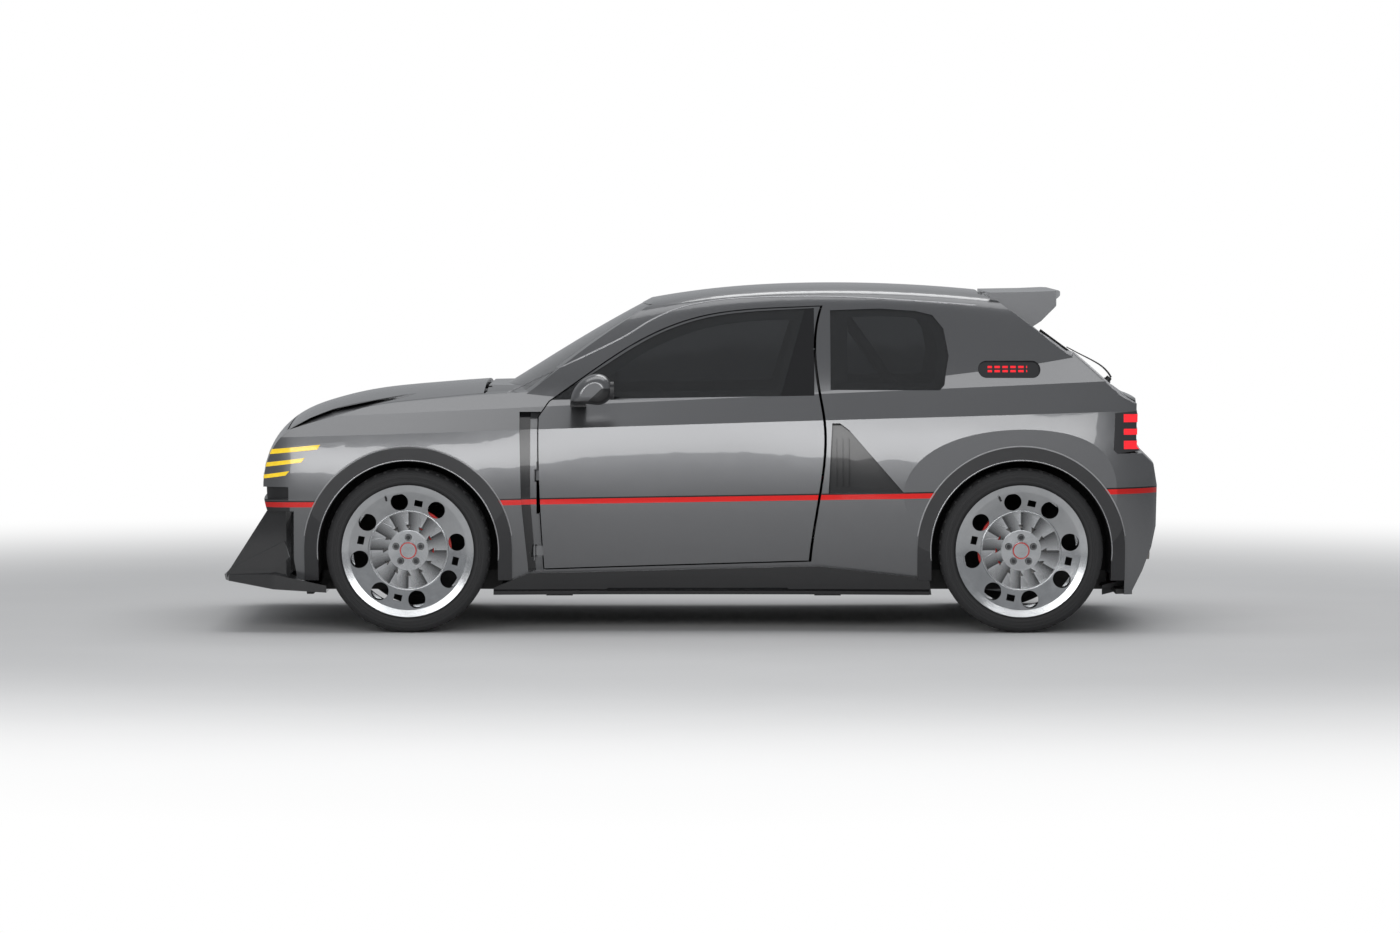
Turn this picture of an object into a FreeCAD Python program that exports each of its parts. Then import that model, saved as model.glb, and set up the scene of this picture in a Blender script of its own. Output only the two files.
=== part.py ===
import FreeCAD, Part
import math
import os

Vector = FreeCAD.Vector

# Driving dimensions of the whole car, millimetres
wheelbase = 2540.0
front_overhang = 768.0
rear_overhang = 593.0
car_height = 1437.0
body_half_width = 915.0

# Walls and gaps
panel_wall = 28.0
door_wall = 60.0
frame_wall = 36.0
glass_inset = 2.0
glass_thickness = 6.0
glass_bed = 0.3
glass_border = 34.0
pane_margin = 14.0
shut_gap = 5.5
door_rear_gap = 11.0
cut_overrun = 60.0
side_room = 240.0
sliver_share = 0.02

# Body shape: how far nose, tail and bonnet fall away towards the sides
nose_sweep = 41.0
tail_sweep = 33.0
bonnet_side_drop = 74.0
side_station = 900.0
upper_side_station = 768.0
screen_sweep = 194.0
header_sweep = 54.0
hatch_sweep = 29.0
belt_flare = 6.0
belt_depth = 124.0
rail_outset = 25.0
rail_tuck = 22.0
rail_crown = 14.0
screen_lean_share = 1.7
hatch_lean_share = 1.7
nose_end_share = 0.42
tail_start_share = 2.75
fall_start_share = 0.15
sweep_run_share = 0.65
drop_run_share = 0.43
drop_least_share = 0.3
lean_run_share = 0.25
tail_line_start_share = 2.5
shoulder_lean_share = 0.35
shoulder_rise_share = 0.42
rail_rise_share = 0.86
top_edge_run_share = 0.6
top_edge_rise_share = 0.8

# Wheels
tyre_radius = 339.5
tyre_half_width = 122.0
tyre_shoulder = 17.0
sidewall_end_share = 1.6
shoulder_edge_share = 0.4
shoulder_turn_share = 0.5
tread_edge_share = 1.5
flange_setback = 0.6
bead_radius = 254.0
flange_radius = 273.0
flange_width = 9.0
rim_wall = 9.0
rim_depth_step = 12.0
outer_ledge_share = 0.33
well_outer_share = 0.2
well_inner_share = 0.33
inner_ledge_share = 0.5
front_track_half = 785.0
rear_track_half = 795.0
dish_ring_radius = 163.0
dish_ring_depth = 62.0
dish_wall = 14.0
dish_hole_radius = 36.0
dish_hole_circle = 205.0
dish_hole_count = 8
dish_hole_lead = 10.0
slot_count = 4
slot_lead = 77.5
slot_circle = 200.0
slot_length = 34.0
slot_height = 26.0
blade_count = 12
blade_root_radius = 112.0
blade_tip_radius = 155.0
blade_root_width = 16.0
blade_tip_width = 46.0
blade_lean = 14.0
blade_depth = 9.0
hub_window_tip_radius = 88.0
hub_window_base_radius = 106.0
hub_window_width = 22.0
hub_pad_radius = 82.0
hub_pad_height = 8.0
cap_radius = 33.0
cap_height = 14.0
stud_circle = 54.0
stud_count = 5
stud_lead = 90.0
right_wheel_turn = 36.0
nut_radius = 11.0
nut_height = 16.0
mount_face_offset = 45.0
disc_radius = 152.0
disc_thickness = 24.0
disc_offset = 8.0
hat_radius = 80.0
hat_wall = 8.0
stub_radius = 26.0
running_clearance = 0.08
seat_clearance = 0.3

# Uprights, kingpins and arms
kingpin_inset = 31.0
kingpin_half_height = 130.0
kingpin_radius = 11.0
arm_eye_radius = 20.0
arm_eye_height = 30.0
arm_thickness = 24.0
arm_spread = 110.0
arm_bar_width = 30.0
upright_thickness = 34.0
upright_half_width = 48.0
upright_start = 12.0
caliper_inner_radius = 96.0
caliper_outer_radius = 178.0
caliper_width = 52.0
caliper_sweep = 76.0
caliper_slot_gap = 3.0
caliper_centre_front = 25.0
caliper_centre_rear = 175.0

# Wheel arches
arch_radius = 430.0
arch_opening_radius = 372.0
arch_bottom_share = 0.150
flare_stand = 10.0
liner_wall = 8.0
wheelhouse_half = 500.0
liner_bottom_share = 0.165

# Underbody and bulkheads
floor_bottom = 150.0
floor_thickness = 26.0
tub_half_width = 492.0
bulkhead_thickness = 24.0
front_bulkhead_share = 1.195
rear_bulkhead_share = 1.722
bulkhead_top_share = 0.66
tunnel_half_width = 88.0
tunnel_height = 190.0
tub_side_height = 260.0
jack_pad_run = 560.0
jack_pad_half = 640.0
jack_pad_length = 110.0
jack_pad_width = 70.0
jack_pad_drop = 10.0

# Bonnet, tailgate and hinges
bonnet_gap = 8.0
hinge_pin_radius = 5.0
hinge_barrel_radius = 9.0
hinge_barrel_half = 20.0
hinge_pocket_play = 5.5
hinge_pin_hold = 22.0
hinge_strap = 60.0
hinge_strap_thickness = 9.0
hinge_room_share = 1.2
bonnet_hinge_share = 1.1315
bonnet_hinge_level_share = 0.714
bonnet_hinge_drop = 13.0
bonnet_hinge_half = 470.0
hatch_hinge_share = 1.948
hatch_hinge_level_share = 0.9725
hatch_hinge_drop = 13.0
hatch_hinge_half = 330.0
hatch_relief_radius = 32.0
hatch_relief_floor = 3.0
door_hinge_share = 1.2056
door_hinge_half = 826.0
door_hinge_level_shares = (0.235, 0.452)
door_relief_start = 9.0
door_relief_end = 44.0
door_relief_outer_half = 856.0
door_relief_inner_half = 812.0
door_relief_level_shares = (0.342, 0.492)

# Nose, splitter and lamps
headlamp_half_inner = 610.0
lamp_depth = 16.0
slit_half_inner = 520.0
slit_depth = 11.0
lamp_proud = 1.5
fin_thickness = 12.0
fin_half = 812.0
foot_reach = 16.0
intake_half_width = 560.0
grille_bar = 9.0
grille_frame = 18.0
grille_row_set = 11.0
grille_post_set = 16.5
grille_row_count = 4
grille_post_count = 9

# Side skirts, vents and intakes
skirt_stand = 12.0
blade_stand = 14.0
scoop_depth = 9.0
vent_depth = 30.0
vent_plate = 6.0
slat_thickness = 5.0
slat_depth = 20.0
intake_depth = 44.0

# Tail
tail_bar_proud = 3.0
pill_radius = 35.0
pill_inset = 8.0
pill_thickness = 6.0
tail_lamp_proud = 2.0
tail_lamp_half_inner = 520.0
diffuser_fin_thickness = 8.0
diffuser_fin_spacing = 190.0
diffuser_half_width = 640.0
spoiler_half_width = 545.0
spoiler_sweep = 46.0
spoiler_ear = 26.0
exhaust_radius = 42.0
exhaust_wall = 3.0
exhaust_length = 210.0
exhaust_half = 120.0
exhaust_level = 300.0
exhaust_end_share = 2.99

# Mirrors
mirror_half_reach = 985.0
mirror_width = 150.0
mirror_arm_height = 20.0
mirror_arm_length = 64.0
mirror_arm_drop = 26.0

# Cabin
seat_half = 330.0
seat_width = 470.0
seat_side_height = 110.0
seat_side_wall = 30.0
seat_bracket_wall = 12.0
seat_wing_front_share = 0.6
seat_wing_run_share = 0.8
seat_pad_width = 380.0
seat_pad_thickness = 70.0
wheel_rim_radius = 165.0
wheel_rim_tube = 15.0
wheel_hub_radius = 42.0
wheel_hub_depth = 40.0
wheel_spoke_width = 30.0
wheel_spoke_thickness = 8.0
column_radius = 17.0
column_length = 440.0
column_tilt = 18.0
wheel_centre_shares = (1.428, 0.575)
dash_depth = 250.0
dash_height = 290.0
dash_half_width = 665.0
dash_top_run_share = 0.8
dash_face_drop_share = 0.25
dash_foot_run_share = 0.6
cage_radius = 20.0
engine_length = 420.0
engine_half_width = 290.0
engine_height = 470.0
engine_gap = 30.0

# Outlines as shares. A length share counts front overhang 0 to 1, wheelbase 1 to 2 and rear
# overhang 2 to 3. A height share is a part of the car's height.
plan_shares = (
    (0.1616, 0.0, 0), (0.1616, 0.38, 0), (0.1642, 0.72, 0), (0.1831, 0.90, 0), (0.339, 0.965, 0),
    (0.609, 0.985, 0), (0.959, 0.995, 0), (1.150, 0.985, 0), (1.248, 0.935, 1), (1.411, 0.925, 1),
    (1.590, 0.93, 1), (1.720, 0.955, 2), (1.850, 1.0, 2), (1.997, 1.01, 2), (2.509, 1.0, 2),
    (2.787, 0.975, 2), (2.976, 0.90, 2), (3.010, 0.70, 2), (3.017, 0.35, 2), (3.017, 0.0, 2))
level_shares = (
    (0.108, 0.108, 0.93, 0.94, 0.93), (0.203, 0.203, 0.965, 0.975, 0.97), (0.373, 0.396, 1.0, 1.0, 1.0),
    (0.574, 0.629, 0.965, 0.975, 0.965), (0.632, 0.712, 0.875, 0.885, 0.875),
    (0.712, 0.799, 0.70, 0.72, 0.70))
bonnet_line_shares = (
    (0.1939, 0.364), (0.1723, 0.436), (0.1885, 0.491), (0.2369, 0.551), (0.3554, 0.614),
    (0.5277, 0.653), (0.7431, 0.681), (1.020, 0.701), (1.118, 0.714), (1.248, 0.724))
chin_line_shares = ((0.334, 0.350), (0.334, 0.212), (0.377, 0.085))
tail_line_shares = (
    (2.829, 0.085), (2.829, 0.119), (2.899, 0.177), (2.962, 0.246), (2.993, 0.306), (3.0, 0.424),
    (2.976, 0.485), (2.850, 0.537), (2.857, 0.658), (2.753, 0.682), (2.167, 0.881), (2.167, 1.1),
    (1.248, 1.1))
screen_line_shares = ((1.069, 0.617), (1.150, 0.701), (1.264, 0.826), (1.383, 0.945), (1.476, 1.026))
hatch_line_shares = ((1.938, 0.998), (2.794, 0.676), (2.794, 0.56))
roof_section_shares = (
    (1.053, 0.801, 0.74, 0.55), (1.248, 0.896, 0.80, 0.585), (1.378, 0.950, 0.82, 0.605),
    (1.476, 0.978, 0.828, 0.62), (1.681, 1.0, 0.835, 0.635), (1.899, 0.986, 0.835, 0.63),
    (2.265, 0.951, 0.82, 0.61), (2.822, 0.905, 0.79, 0.58))
belt_level_share = 0.672
door_front_shares = ((1.220, 0.180), (1.213, 0.384), (1.2105, 0.528), (1.2105, 0.620))
door_top_shares = (
    (1.228, 0.665), (1.313, 0.770), (1.394, 0.856), (1.476, 0.909), (1.573, 0.932), (1.678, 0.940))
door_rear_shares = ((1.678, 0.940), (1.675, 0.683), (1.682, 0.603), (1.674, 0.396), (1.658, 0.203))
door_pane_shares = ((1.228, 0.668), (1.669, 0.681))
door_window_shares = ((1.329, 0.735), (1.329, 0.690), (1.600, 0.697), (1.633, 0.898))
door_window_top_shares = ((1.633, 0.898), (1.573, 0.895), (1.476, 0.868), (1.394, 0.810), (1.329, 0.735))
quarter_pane_shares = (
    (1.690, 0.697), (1.690, 0.926), (1.770, 0.931), (1.830, 0.924), (1.858, 0.912), (1.876, 0.873),
    (1.884, 0.796), (1.876, 0.712), (1.868, 0.697))
quarter_window_shares = (
    (1.718, 0.716), (1.718, 0.905), (1.770, 0.909), (1.824, 0.904), (1.846, 0.893), (1.860, 0.858),
    (1.867, 0.796), (1.861, 0.727), (1.854, 0.716))
vent_shares = (
    (1.181, 0.635), (1.216, 0.635), (1.216, 0.528), (1.220, 0.384), (1.230, 0.185), (1.220, 0.177),
    (1.196, 0.174), (1.184, 0.384))
vent_plate_shares = (
    (1.181, 0.635), (1.199, 0.635), (1.199, 0.384), (1.208, 0.177), (1.196, 0.174), (1.184, 0.384))
slat_start_shares = (1.697, 1.707, 1.717)
slat_level_shares = (0.420, 0.560)
intake_shares = ((1.692, 0.603), (1.705, 0.603), (1.720, 0.583), (1.810, 0.401), (1.686, 0.401))
skirt_shares = (
    (1.139, 0.096), (1.139, 0.128), (1.196, 0.170), (1.276, 0.172), (1.671, 0.190), (1.850, 0.155),
    (1.855, 0.096))
skirt_blade_shares = ((1.139, 0.096), (1.139, 0.118), (1.850, 0.118), (1.850, 0.096))
scoop_shares = (
    (1.322, 0.121), (1.340, 0.150), (1.372, 0.160), (1.580, 0.160), (1.606, 0.150), (1.622, 0.121))
side_region_shares = (
    (1.139, 0.096), (1.139, 0.128), (1.196, 0.174), (1.184, 0.384), (1.181, 0.635), (1.1365, 0.66),
    (1.1365, 1.2), (3.2, 1.2), (3.2, 0.517), (2.62, 0.517), (2.45, 0.44), (2.45, 0.096))
fender_region_shares = (
    (0.10, 0.5295), (0.6624, 0.551), (0.6624, 0.10), (1.139, 0.10), (1.139, 0.128), (1.196, 0.174),
    (1.184, 0.384), (1.181, 0.635), (1.1365, 0.66), (1.1365, 1.1), (0.10, 1.1))
bumper_region_shares = (
    (-0.1, 0.5295), (0.10, 0.5295), (0.6624, 0.551), (0.6624, 0.10), (-0.1, 0.10))
tail_region_shares = ((2.45, 0.096), (2.45, 0.44), (2.62, 0.517), (3.2, 0.517), (3.2, 0.096))
bonnet_plan_shares = (
    (0.340, 0.0), (0.340, 0.84), (0.5923, 0.845), (0.910, 0.785), (1.124, 0.735), (1.124, 0.0))
screen_pane_shares = ((0.70, 0.705), (0.546, 0.942))
slit_shares = (
    (0.3554, 0.584), (0.46, 0.615), (0.5816, 0.639), (0.8508, 0.669), (1.02, 0.688), (0.9585, 0.672),
    (0.80, 0.654),
    (0.6354, 0.627), (0.46, 0.602))
header_share = 1.386
hatch_outline_shares = (
    (0.53, 1.1), (0.53, 0.96), (0.64, 0.70), (0.655, 0.66), (0.56, 0.545), (0.56, 0.520))
hatch_draft_shares = ((0.53, 1.1), (0.53, 0.96), (0.64, 0.70), (0.70, 0.558))
hatch_top_share = 1.9495
beyond_tail_share = 3.2
hatch_pane_shares = ((0.50, 0.868), (0.605, 0.700))
roof_half_share = 0.50
bar_tables_shares = (
    ((0.10, 0.512), (0.10, 0.521), (0.2154, 0.5255), (0.5267, 0.542), (0.5116, 0.528), (0.2154, 0.512)),
    ((0.10, 0.476), (0.10, 0.485), (0.2100, 0.488), (0.4432, 0.504), (0.4254, 0.491), (0.2100, 0.476)),
    ((0.10, 0.442), (0.10, 0.451), (0.2000, 0.453), (0.3608, 0.466), (0.3393, 0.453), (0.2000, 0.442)))
slot_inlet_shares = ((0.10, 0.419), (0.3554, 0.420), (0.3554, 0.387), (0.10, 0.381))
splitter_shares = (
    (0.0, 0.166), (0.0081, 0.150), (0.275, 0.125), (0.56, 0.116), (0.56, 0.136), (0.275, 0.168))
splitter_plan_shares = ((0.0, 0.0), (0.0, 0.86), (0.03, 0.92), (0.275, 0.97), (0.56, 0.98))
grille_low_share = 0.166
grille_high_share = 0.335
fin_shares = (
    (0.247, 0.361), (0.26, 0.372), (0.337, 0.372), (0.337, 0.15), (0.215, 0.145), (0.02, 0.158),
    (0.012, 0.168),
    (0.038, 0.186))
foot_shares = (
    (0.038, 0.184), (0.330, 0.262), (0.355, 0.215), (0.215, 0.150), (0.02, 0.158), (0.016, 0.168))
tail_lamp_shares = ((2.655, 0.633), (3.2, 0.652), (3.2, 0.545), (2.669, 0.517), (2.641, 0.528))
tail_bar_shares = ((0.630, 0.607), (0.588, 0.571), (0.554, 0.530))
tail_bar_start_share = 2.714
pill_shares = ((1.9455, 0.7565), (2.087, 0.7565))
diffuser_shares = ((2.593, 0.119), (2.829, 0.119), (2.829, 0.150), (2.593, 0.126))
spoiler_ear_shares = (
    (1.954, 0.9765), (2.10, 0.977), (2.345, 0.974), (2.348, 0.968), (2.167, 0.893), (2.10, 0.875),
    (1.954, 0.945))
spoiler_blade_shares = (
    (1.954, 0.9765), (2.10, 0.9785), (2.30, 0.982), (2.345, 0.974), (2.348, 0.968), (2.24, 0.952),
    (2.10, 0.935),
    (1.954, 0.945))
mirror_shares = (
    (1.265, 0.670), (1.270, 0.700), (1.283, 0.728), (1.300, 0.745), (1.322, 0.742), (1.332, 0.722),
    (1.333, 0.685),
    (1.318, 0.660), (1.290, 0.660))
mirror_section_shares = ((0.0, 0.42), (0.06, 0.72), (0.22, 0.93), (0.5, 1.0), (0.85, 0.95), (1.0, 0.80))
seat_shares = (
    (1.423, 0.262), (1.415, 0.290), (1.445, 0.305), (1.585, 0.262), (1.625, 0.330), (1.670, 0.800),
    (1.682, 0.800), (1.642, 0.310), (1.595, 0.232), (1.445, 0.275))
seat_bracket_shares = ((1.46, 0.10), (1.46, 0.285), (1.58, 0.25), (1.58, 0.10))
seat_cushion_run_shares = (0.06, 0.92)
seat_back_run_shares = (0.10, 0.80)
cage_hoop_share = 1.705
cage_top_share = 0.935
cage_half_share = 0.50
cage_foot_half_share = 0.70
cage_front_share = 1.42
cage_front_top_share = 0.890
cage_stay_share = 2.15
stay_foot_share = 0.9
cage_dash_share = 1.27
dash_start_share = 1.205
dash_top_share = 0.655
scuttle_half_share = 0.70
scuttle_start_share = 1.1262
scuttle_end_share = 1.32
scuttle_level_shares = (0.58, 0.76)
roof_level_shares = (0.85, 1.1)
screen_reach_shares = (1.0, 1.6)
hatch_reach_share = 2.0
hatch_opening_share = 2.05
bonnet_floor_share = 0.45
splitter_cut_share = 0.2
diffuser_fin_shares = ((2.60, 0.125), (2.83, 0.150), (2.83, 0.119), (2.60, 0.095))

# Places worked out from the driving dimensions
car_length = front_overhang + wheelbase + rear_overhang
nose_x = -car_length / 2
front_axle_x = nose_x + front_overhang
rear_axle_x = front_axle_x + wheelbase
axle_z = tyre_radius


def station(share):
    """The X of a length share."""
    if share <= 1:
        return nose_x + share * front_overhang
    if share <= 2:
        return front_axle_x + (share - 1) * wheelbase
    return rear_axle_x + (share - 2) * rear_overhang


def level(share):
    """The Z of a height share."""
    return share * car_height


def side_point(pair, y=0.0):
    return Vector(station(pair[0]), y, level(pair[1]))


def line_or_curve(points):
    """A straight edge through two points, or a smooth one through more."""
    if len(points) == 2:
        return Part.makeLine(points[0], points[1])
    curve = Part.BSplineCurve()
    curve.interpolate(points)
    return curve.toShape()


def closed_wire(runs):
    """A closed wire of runs of points; where two runs don't meet, a straight edge joins them."""
    edges = []
    for index, run in enumerate(runs):
        edges.append(line_or_curve(run))
        start_of_next = runs[(index + 1) % len(runs)][0]
        if run[-1].distanceToPoint(start_of_next) > running_clearance:
            edges.append(Part.makeLine(run[-1], start_of_next))
    return Part.Wire(edges)


def corners(points):
    """A closed straight-sided wire through points."""
    return Part.makePolygon(list(points) + [points[0]])


def across(wire, low_y, high_y):
    """A side-view wire carried across the car from one Y to another."""
    face = Part.Face(wire)
    face.translate(Vector(0, low_y - wire.BoundBox.YMin, 0))
    return face.extrude(Vector(0, high_y - low_y, 0))


def side_prism(shares, low_y, high_y):
    return across(corners([side_point(pair) for pair in shares]), low_y, high_y)


def block(x0, x1, y0, y1, z0, z1):
    return Part.makeBox(x1 - x0, y1 - y0, z1 - z0, Vector(x0, y0, z0))


def mirrored(shape):
    return shape.mirror(Vector(0, 0, 0), Vector(0, 1, 0))


def both_sides(shape):
    return [shape, mirrored(shape)]


def union(shapes):
    first, rest = shapes[0], list(shapes[1:])
    if not rest:
        return first
    return first.fuse(rest)


def keep_large(shape):
    """The solids of a cut that are more than slivers."""
    solids = sorted(shape.Solids, key=lambda solid: -solid.Volume)
    return [solid for solid in solids if solid.Volume > sliver_share * solids[0].Volume]


left_far = -(body_half_width + side_room)
right_far = -left_far


def left_half():
    """Room on the car's left side."""
    reach = car_length
    return block(-reach, reach, left_far, 0, -reach, reach)


def waterline(row, inset):
    """A closed level outline of the lower body."""
    points = []
    for reach, width, zone in plan_shares:
        x = station(reach)
        y = max(0, width * row[2 + zone] * body_half_width - inset)
        if width == 0:
            y = 0
        if reach < nose_end_share:
            x += inset
        if reach > tail_start_share:
            x -= inset
        rise = level(row[1]) - level(row[0])
        z = level(row[0]) + rise * (x - front_axle_x) / wheelbase
        points.append(Vector(x, y, z))
    right = Part.BSplineCurve()
    right.buildFromPoles(points, False, 3)
    left = Part.BSplineCurve()
    left.buildFromPoles([Vector(p.x, -p.y, p.z) for p in reversed(points)], False, 3)
    return Part.Wire([right.toShape(), left.toShape()])


def lower_profile(y, inset):
    """The lower body's side outline at one Y, lower and shorter towards the sides."""
    side = 1 if y else 0
    top = []
    for reach, height in bonnet_line_shares:
        run = reach - fall_start_share
        sweep = side * nose_sweep * max(0, 1 - run / sweep_run_share)
        drop = side * bonnet_side_drop * min(1, max(drop_least_share, run / drop_run_share))
        lean = min(1, max(0, run / lean_run_share))
        x = station(reach) + sweep + inset * (1 - lean)
        top.append(Vector(x, y, level(height) - drop - inset * lean))
    chin = [Vector(station(a) + side * nose_sweep + inset, y, level(b)) for a, b in chin_line_shares]
    tail = []
    for reach, height in tail_line_shares:
        shift = side * tail_sweep + inset if reach > tail_line_start_share else 0
        tail.append(Vector(station(reach) - shift, y, level(height)))
    points = chin + tail + [top[-1]]
    edges = [Part.makeLine(points[i], points[i + 1]) for i in range(len(points) - 1)]
    edges = [line_or_curve(top), Part.makeLine(top[0], points[0])] + edges
    return Part.Wire(Part.__sortEdges__(edges))


def lower_body(inset):
    """The closed form of the body below the windows, drawn in by an inset."""
    lines = [waterline(row, inset) for row in level_shares]
    core = Part.makeLoft(lines[:4], True, False)
    core = core.fuse([Part.makeLoft(lines[3:5], True, True), Part.makeLoft(lines[4:6], True, True)])
    wires = [lower_profile(y, inset) for y in (-side_station, 0, side_station)]
    return core.common(Part.makeLoft(wires, True, False))


def roof_section(row, inset):
    """The upper body's section across the car at one station."""
    x = station(row[0])
    top = level(row[1]) - inset
    belt = row[2] * body_half_width - inset
    rail = row[3] * body_half_width - inset
    base = level(belt_level_share)
    rise = top - base
    half = [(belt + belt_flare, base - belt_depth), (belt, base + rail_tuck),
            (belt - (belt - rail) * shoulder_lean_share, base + rise * shoulder_rise_share),
            (rail + rail_outset, base + rise * rail_rise_share),
            (rail - rail_tuck, top - rail_crown), (rail / 2, top), (0, top)]
    right = Part.BSplineCurve()
    right.buildFromPoles([Vector(x, y, z) for y, z in half], False, 3)
    left = Part.BSplineCurve()
    left.buildFromPoles([Vector(x, -y, z) for y, z in reversed(half)], False, 3)
    foot = Part.makeLine(Vector(x, -half[0][0], half[0][1]), Vector(x, half[0][0], half[0][1]))
    return Part.Wire([right.toShape(), left.toShape(), foot])


def upper_profile(y, inset):
    """The side outline of the upper body between windscreen and hatch."""
    side = 1 if y else 0
    low, high = screen_line_shares[0][1], screen_line_shares[-1][1]
    screen = []
    for reach, height in screen_line_shares:
        fall = (high - height) / (high - low)
        sweep = side * (header_sweep + (screen_sweep - header_sweep) * fall)
        screen.append(Vector(station(reach) + sweep + inset * screen_lean_share, y, level(height)))
    hatch = []
    for reach, height in hatch_line_shares:
        x = station(reach) - side * hatch_sweep - inset * hatch_lean_share
        hatch.append(Vector(x, y, level(height)))
    above = level(high) + cut_overrun
    below = level(low) - cut_overrun
    points = [screen[-1], Vector(screen[-1].x, y, above), Vector(hatch[0].x, y, above)] + hatch
    points += [Vector(hatch[-1].x, y, below), Vector(screen[0].x, y, below), screen[0]]
    edges = [Part.makeLine(points[i], points[i + 1]) for i in range(len(points) - 1)]
    return Part.Wire([line_or_curve(screen)] + edges)


def upper_body(inset):
    """The closed form of the window band and roof, drawn in by an inset."""
    hull = Part.makeLoft([roof_section(row, inset) for row in roof_section_shares], True, False)
    wires = [upper_profile(y, inset) for y in (-upper_side_station, 0, upper_side_station)]
    return hull.common(Part.makeLoft(wires, True, False))


def arch_wire(axle_x, radius, bottom):
    """A wheel arch's outline: half a circle with straight legs."""
    left = Vector(axle_x - radius, 0, axle_z)
    right = Vector(axle_x + radius, 0, axle_z)
    top = Vector(axle_x, 0, axle_z + radius)
    arc = Part.Arc(left, top, right).toShape()
    low_right = Vector(right.x, 0, bottom)
    low_left = Vector(left.x, 0, bottom)
    return Part.Wire([arc, Part.makeLine(right, low_right), Part.makeLine(low_right, low_left),
                      Part.makeLine(low_left, left)])


def arch_prism(axle_x, radius, bottom):
    return across(arch_wire(axle_x, radius, bottom), left_far, right_far)


def door_wire(growth, rear_growth):
    """The door's side outline, grown or drawn in; its rear edge has its own share."""
    def moved(shares, dx, dz):
        return [side_point(pair) + Vector(dx, 0, dz) for pair in shares]
    front = moved(door_front_shares, -growth, 0)
    top = moved(door_top_shares, -growth * top_edge_run_share, growth * top_edge_rise_share)
    rear = moved(door_rear_shares, rear_growth, 0)
    top[-1] = Vector(rear[0].x, 0, top[-1].z)
    rear[0] = top[-1]
    front[0].z -= growth
    rear[-1].z -= growth
    return closed_wire([front, top, rear, [rear[-1], front[0]]])


def door_prism(growth, rear_growth):
    return across(door_wire(growth, rear_growth), left_far, 0)


def pane_wire(growth):
    """The flush side pane of a door: along the door's top, down to the belt."""
    step = Vector(growth * top_edge_run_share, 0, -growth * top_edge_rise_share)
    top = [side_point(pair) + step for pair in door_top_shares]
    rear = side_point(door_pane_shares[1]) + Vector(-growth, 0, 0)
    top[-1] = Vector(rear.x, 0, top[-1].z)
    foot = side_point(door_pane_shares[0]) + Vector(growth, 0, 0)
    foot.z = max(foot.z, level(door_pane_shares[0][1]))
    top[0] = Vector(foot.x, 0, foot.z + growth)
    return closed_wire([top, [rear, foot]])


def window_wire():
    """The opening behind a door's pane."""
    top = [side_point(pair) for pair in door_window_top_shares]
    low = [side_point(pair) for pair in door_window_shares]
    return closed_wire([top, low[:2], low[1:3], low[2:4]])


def hinge(centre, direction, toward, opening):
    """One hinge: the barrel with its strap, the pin, and the room that the strap swings in."""
    half = hinge_barrel_half
    low = centre - direction * half
    barrel = Part.makeCylinder(hinge_barrel_radius, 2 * half, low, direction)
    start = low - opening * (hinge_strap_thickness / 2)
    along = toward * hinge_strap
    strap = Part.Face(corners([start, start + along, start + along + opening * hinge_strap_thickness,
                               start + opening * hinge_strap_thickness]))
    strap = strap.extrude(direction * (2 * half))
    bore = Part.makeCylinder(hinge_pin_radius + running_clearance, 2 * half, low, direction)
    knuckle = barrel.fuse(strap).cut(bore)
    pin_low = low - direction * hinge_pin_hold
    pin = Part.makeCylinder(hinge_pin_radius, 2 * half + 2 * hinge_pin_hold, pin_low, direction)
    room_low = low - direction * shut_gap
    room_length = 2 * half + 2 * shut_gap
    pocket = Part.makeCylinder(hinge_barrel_radius + hinge_pocket_play, room_length, room_low, direction)
    corner = room_low - opening * (hinge_strap_thickness / 2 + hinge_pocket_play)
    reach = opening * (hinge_strap * 2)
    length = along * hinge_room_share
    slot = Part.Face(corners([corner, corner + length, corner + length + reach, corner + reach]))
    return knuckle, pin, pocket.fuse(slot.extrude(direction * room_length))


def door_hinges():
    found = []
    for share in door_hinge_level_shares:
        centre = Vector(station(door_hinge_share), -door_hinge_half, level(share))
        found.append(hinge(centre, Vector(0, 0, 1), Vector(1, 0, 0), Vector(0, -1, 0)))
    return found


def bonnet_hinges():
    found = []
    fall = bonnet_side_drop * (bonnet_hinge_half / side_station) ** 2
    z = level(bonnet_hinge_level_share) - fall - bonnet_hinge_drop
    for side in (-1, 1):
        centre = Vector(station(bonnet_hinge_share), side * bonnet_hinge_half, z)
        found.append(hinge(centre, Vector(0, 1, 0), Vector(-1, 0, 0), Vector(0, 0, 1)))
    return found


def hatch_hinges():
    found = []
    z = level(hatch_hinge_level_share) - hatch_hinge_drop
    for side in (-1, 1):
        centre = Vector(station(hatch_hinge_share), side * hatch_hinge_half, z)
        found.append(hinge(centre, Vector(0, 1, 0), Vector(1, 0, 0), Vector(0, 0, 1)))
    return found


def revolve_about_axle(points, x, y):
    """A ring from (radius, offset) points; offsets count outboard from the wheel's middle."""
    face = Part.Face(corners([Vector(x, y - offset, axle_z + radius) for radius, offset in points]))
    return face.revolve(Vector(x, y, axle_z), Vector(0, 1, 0), 360)


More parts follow.
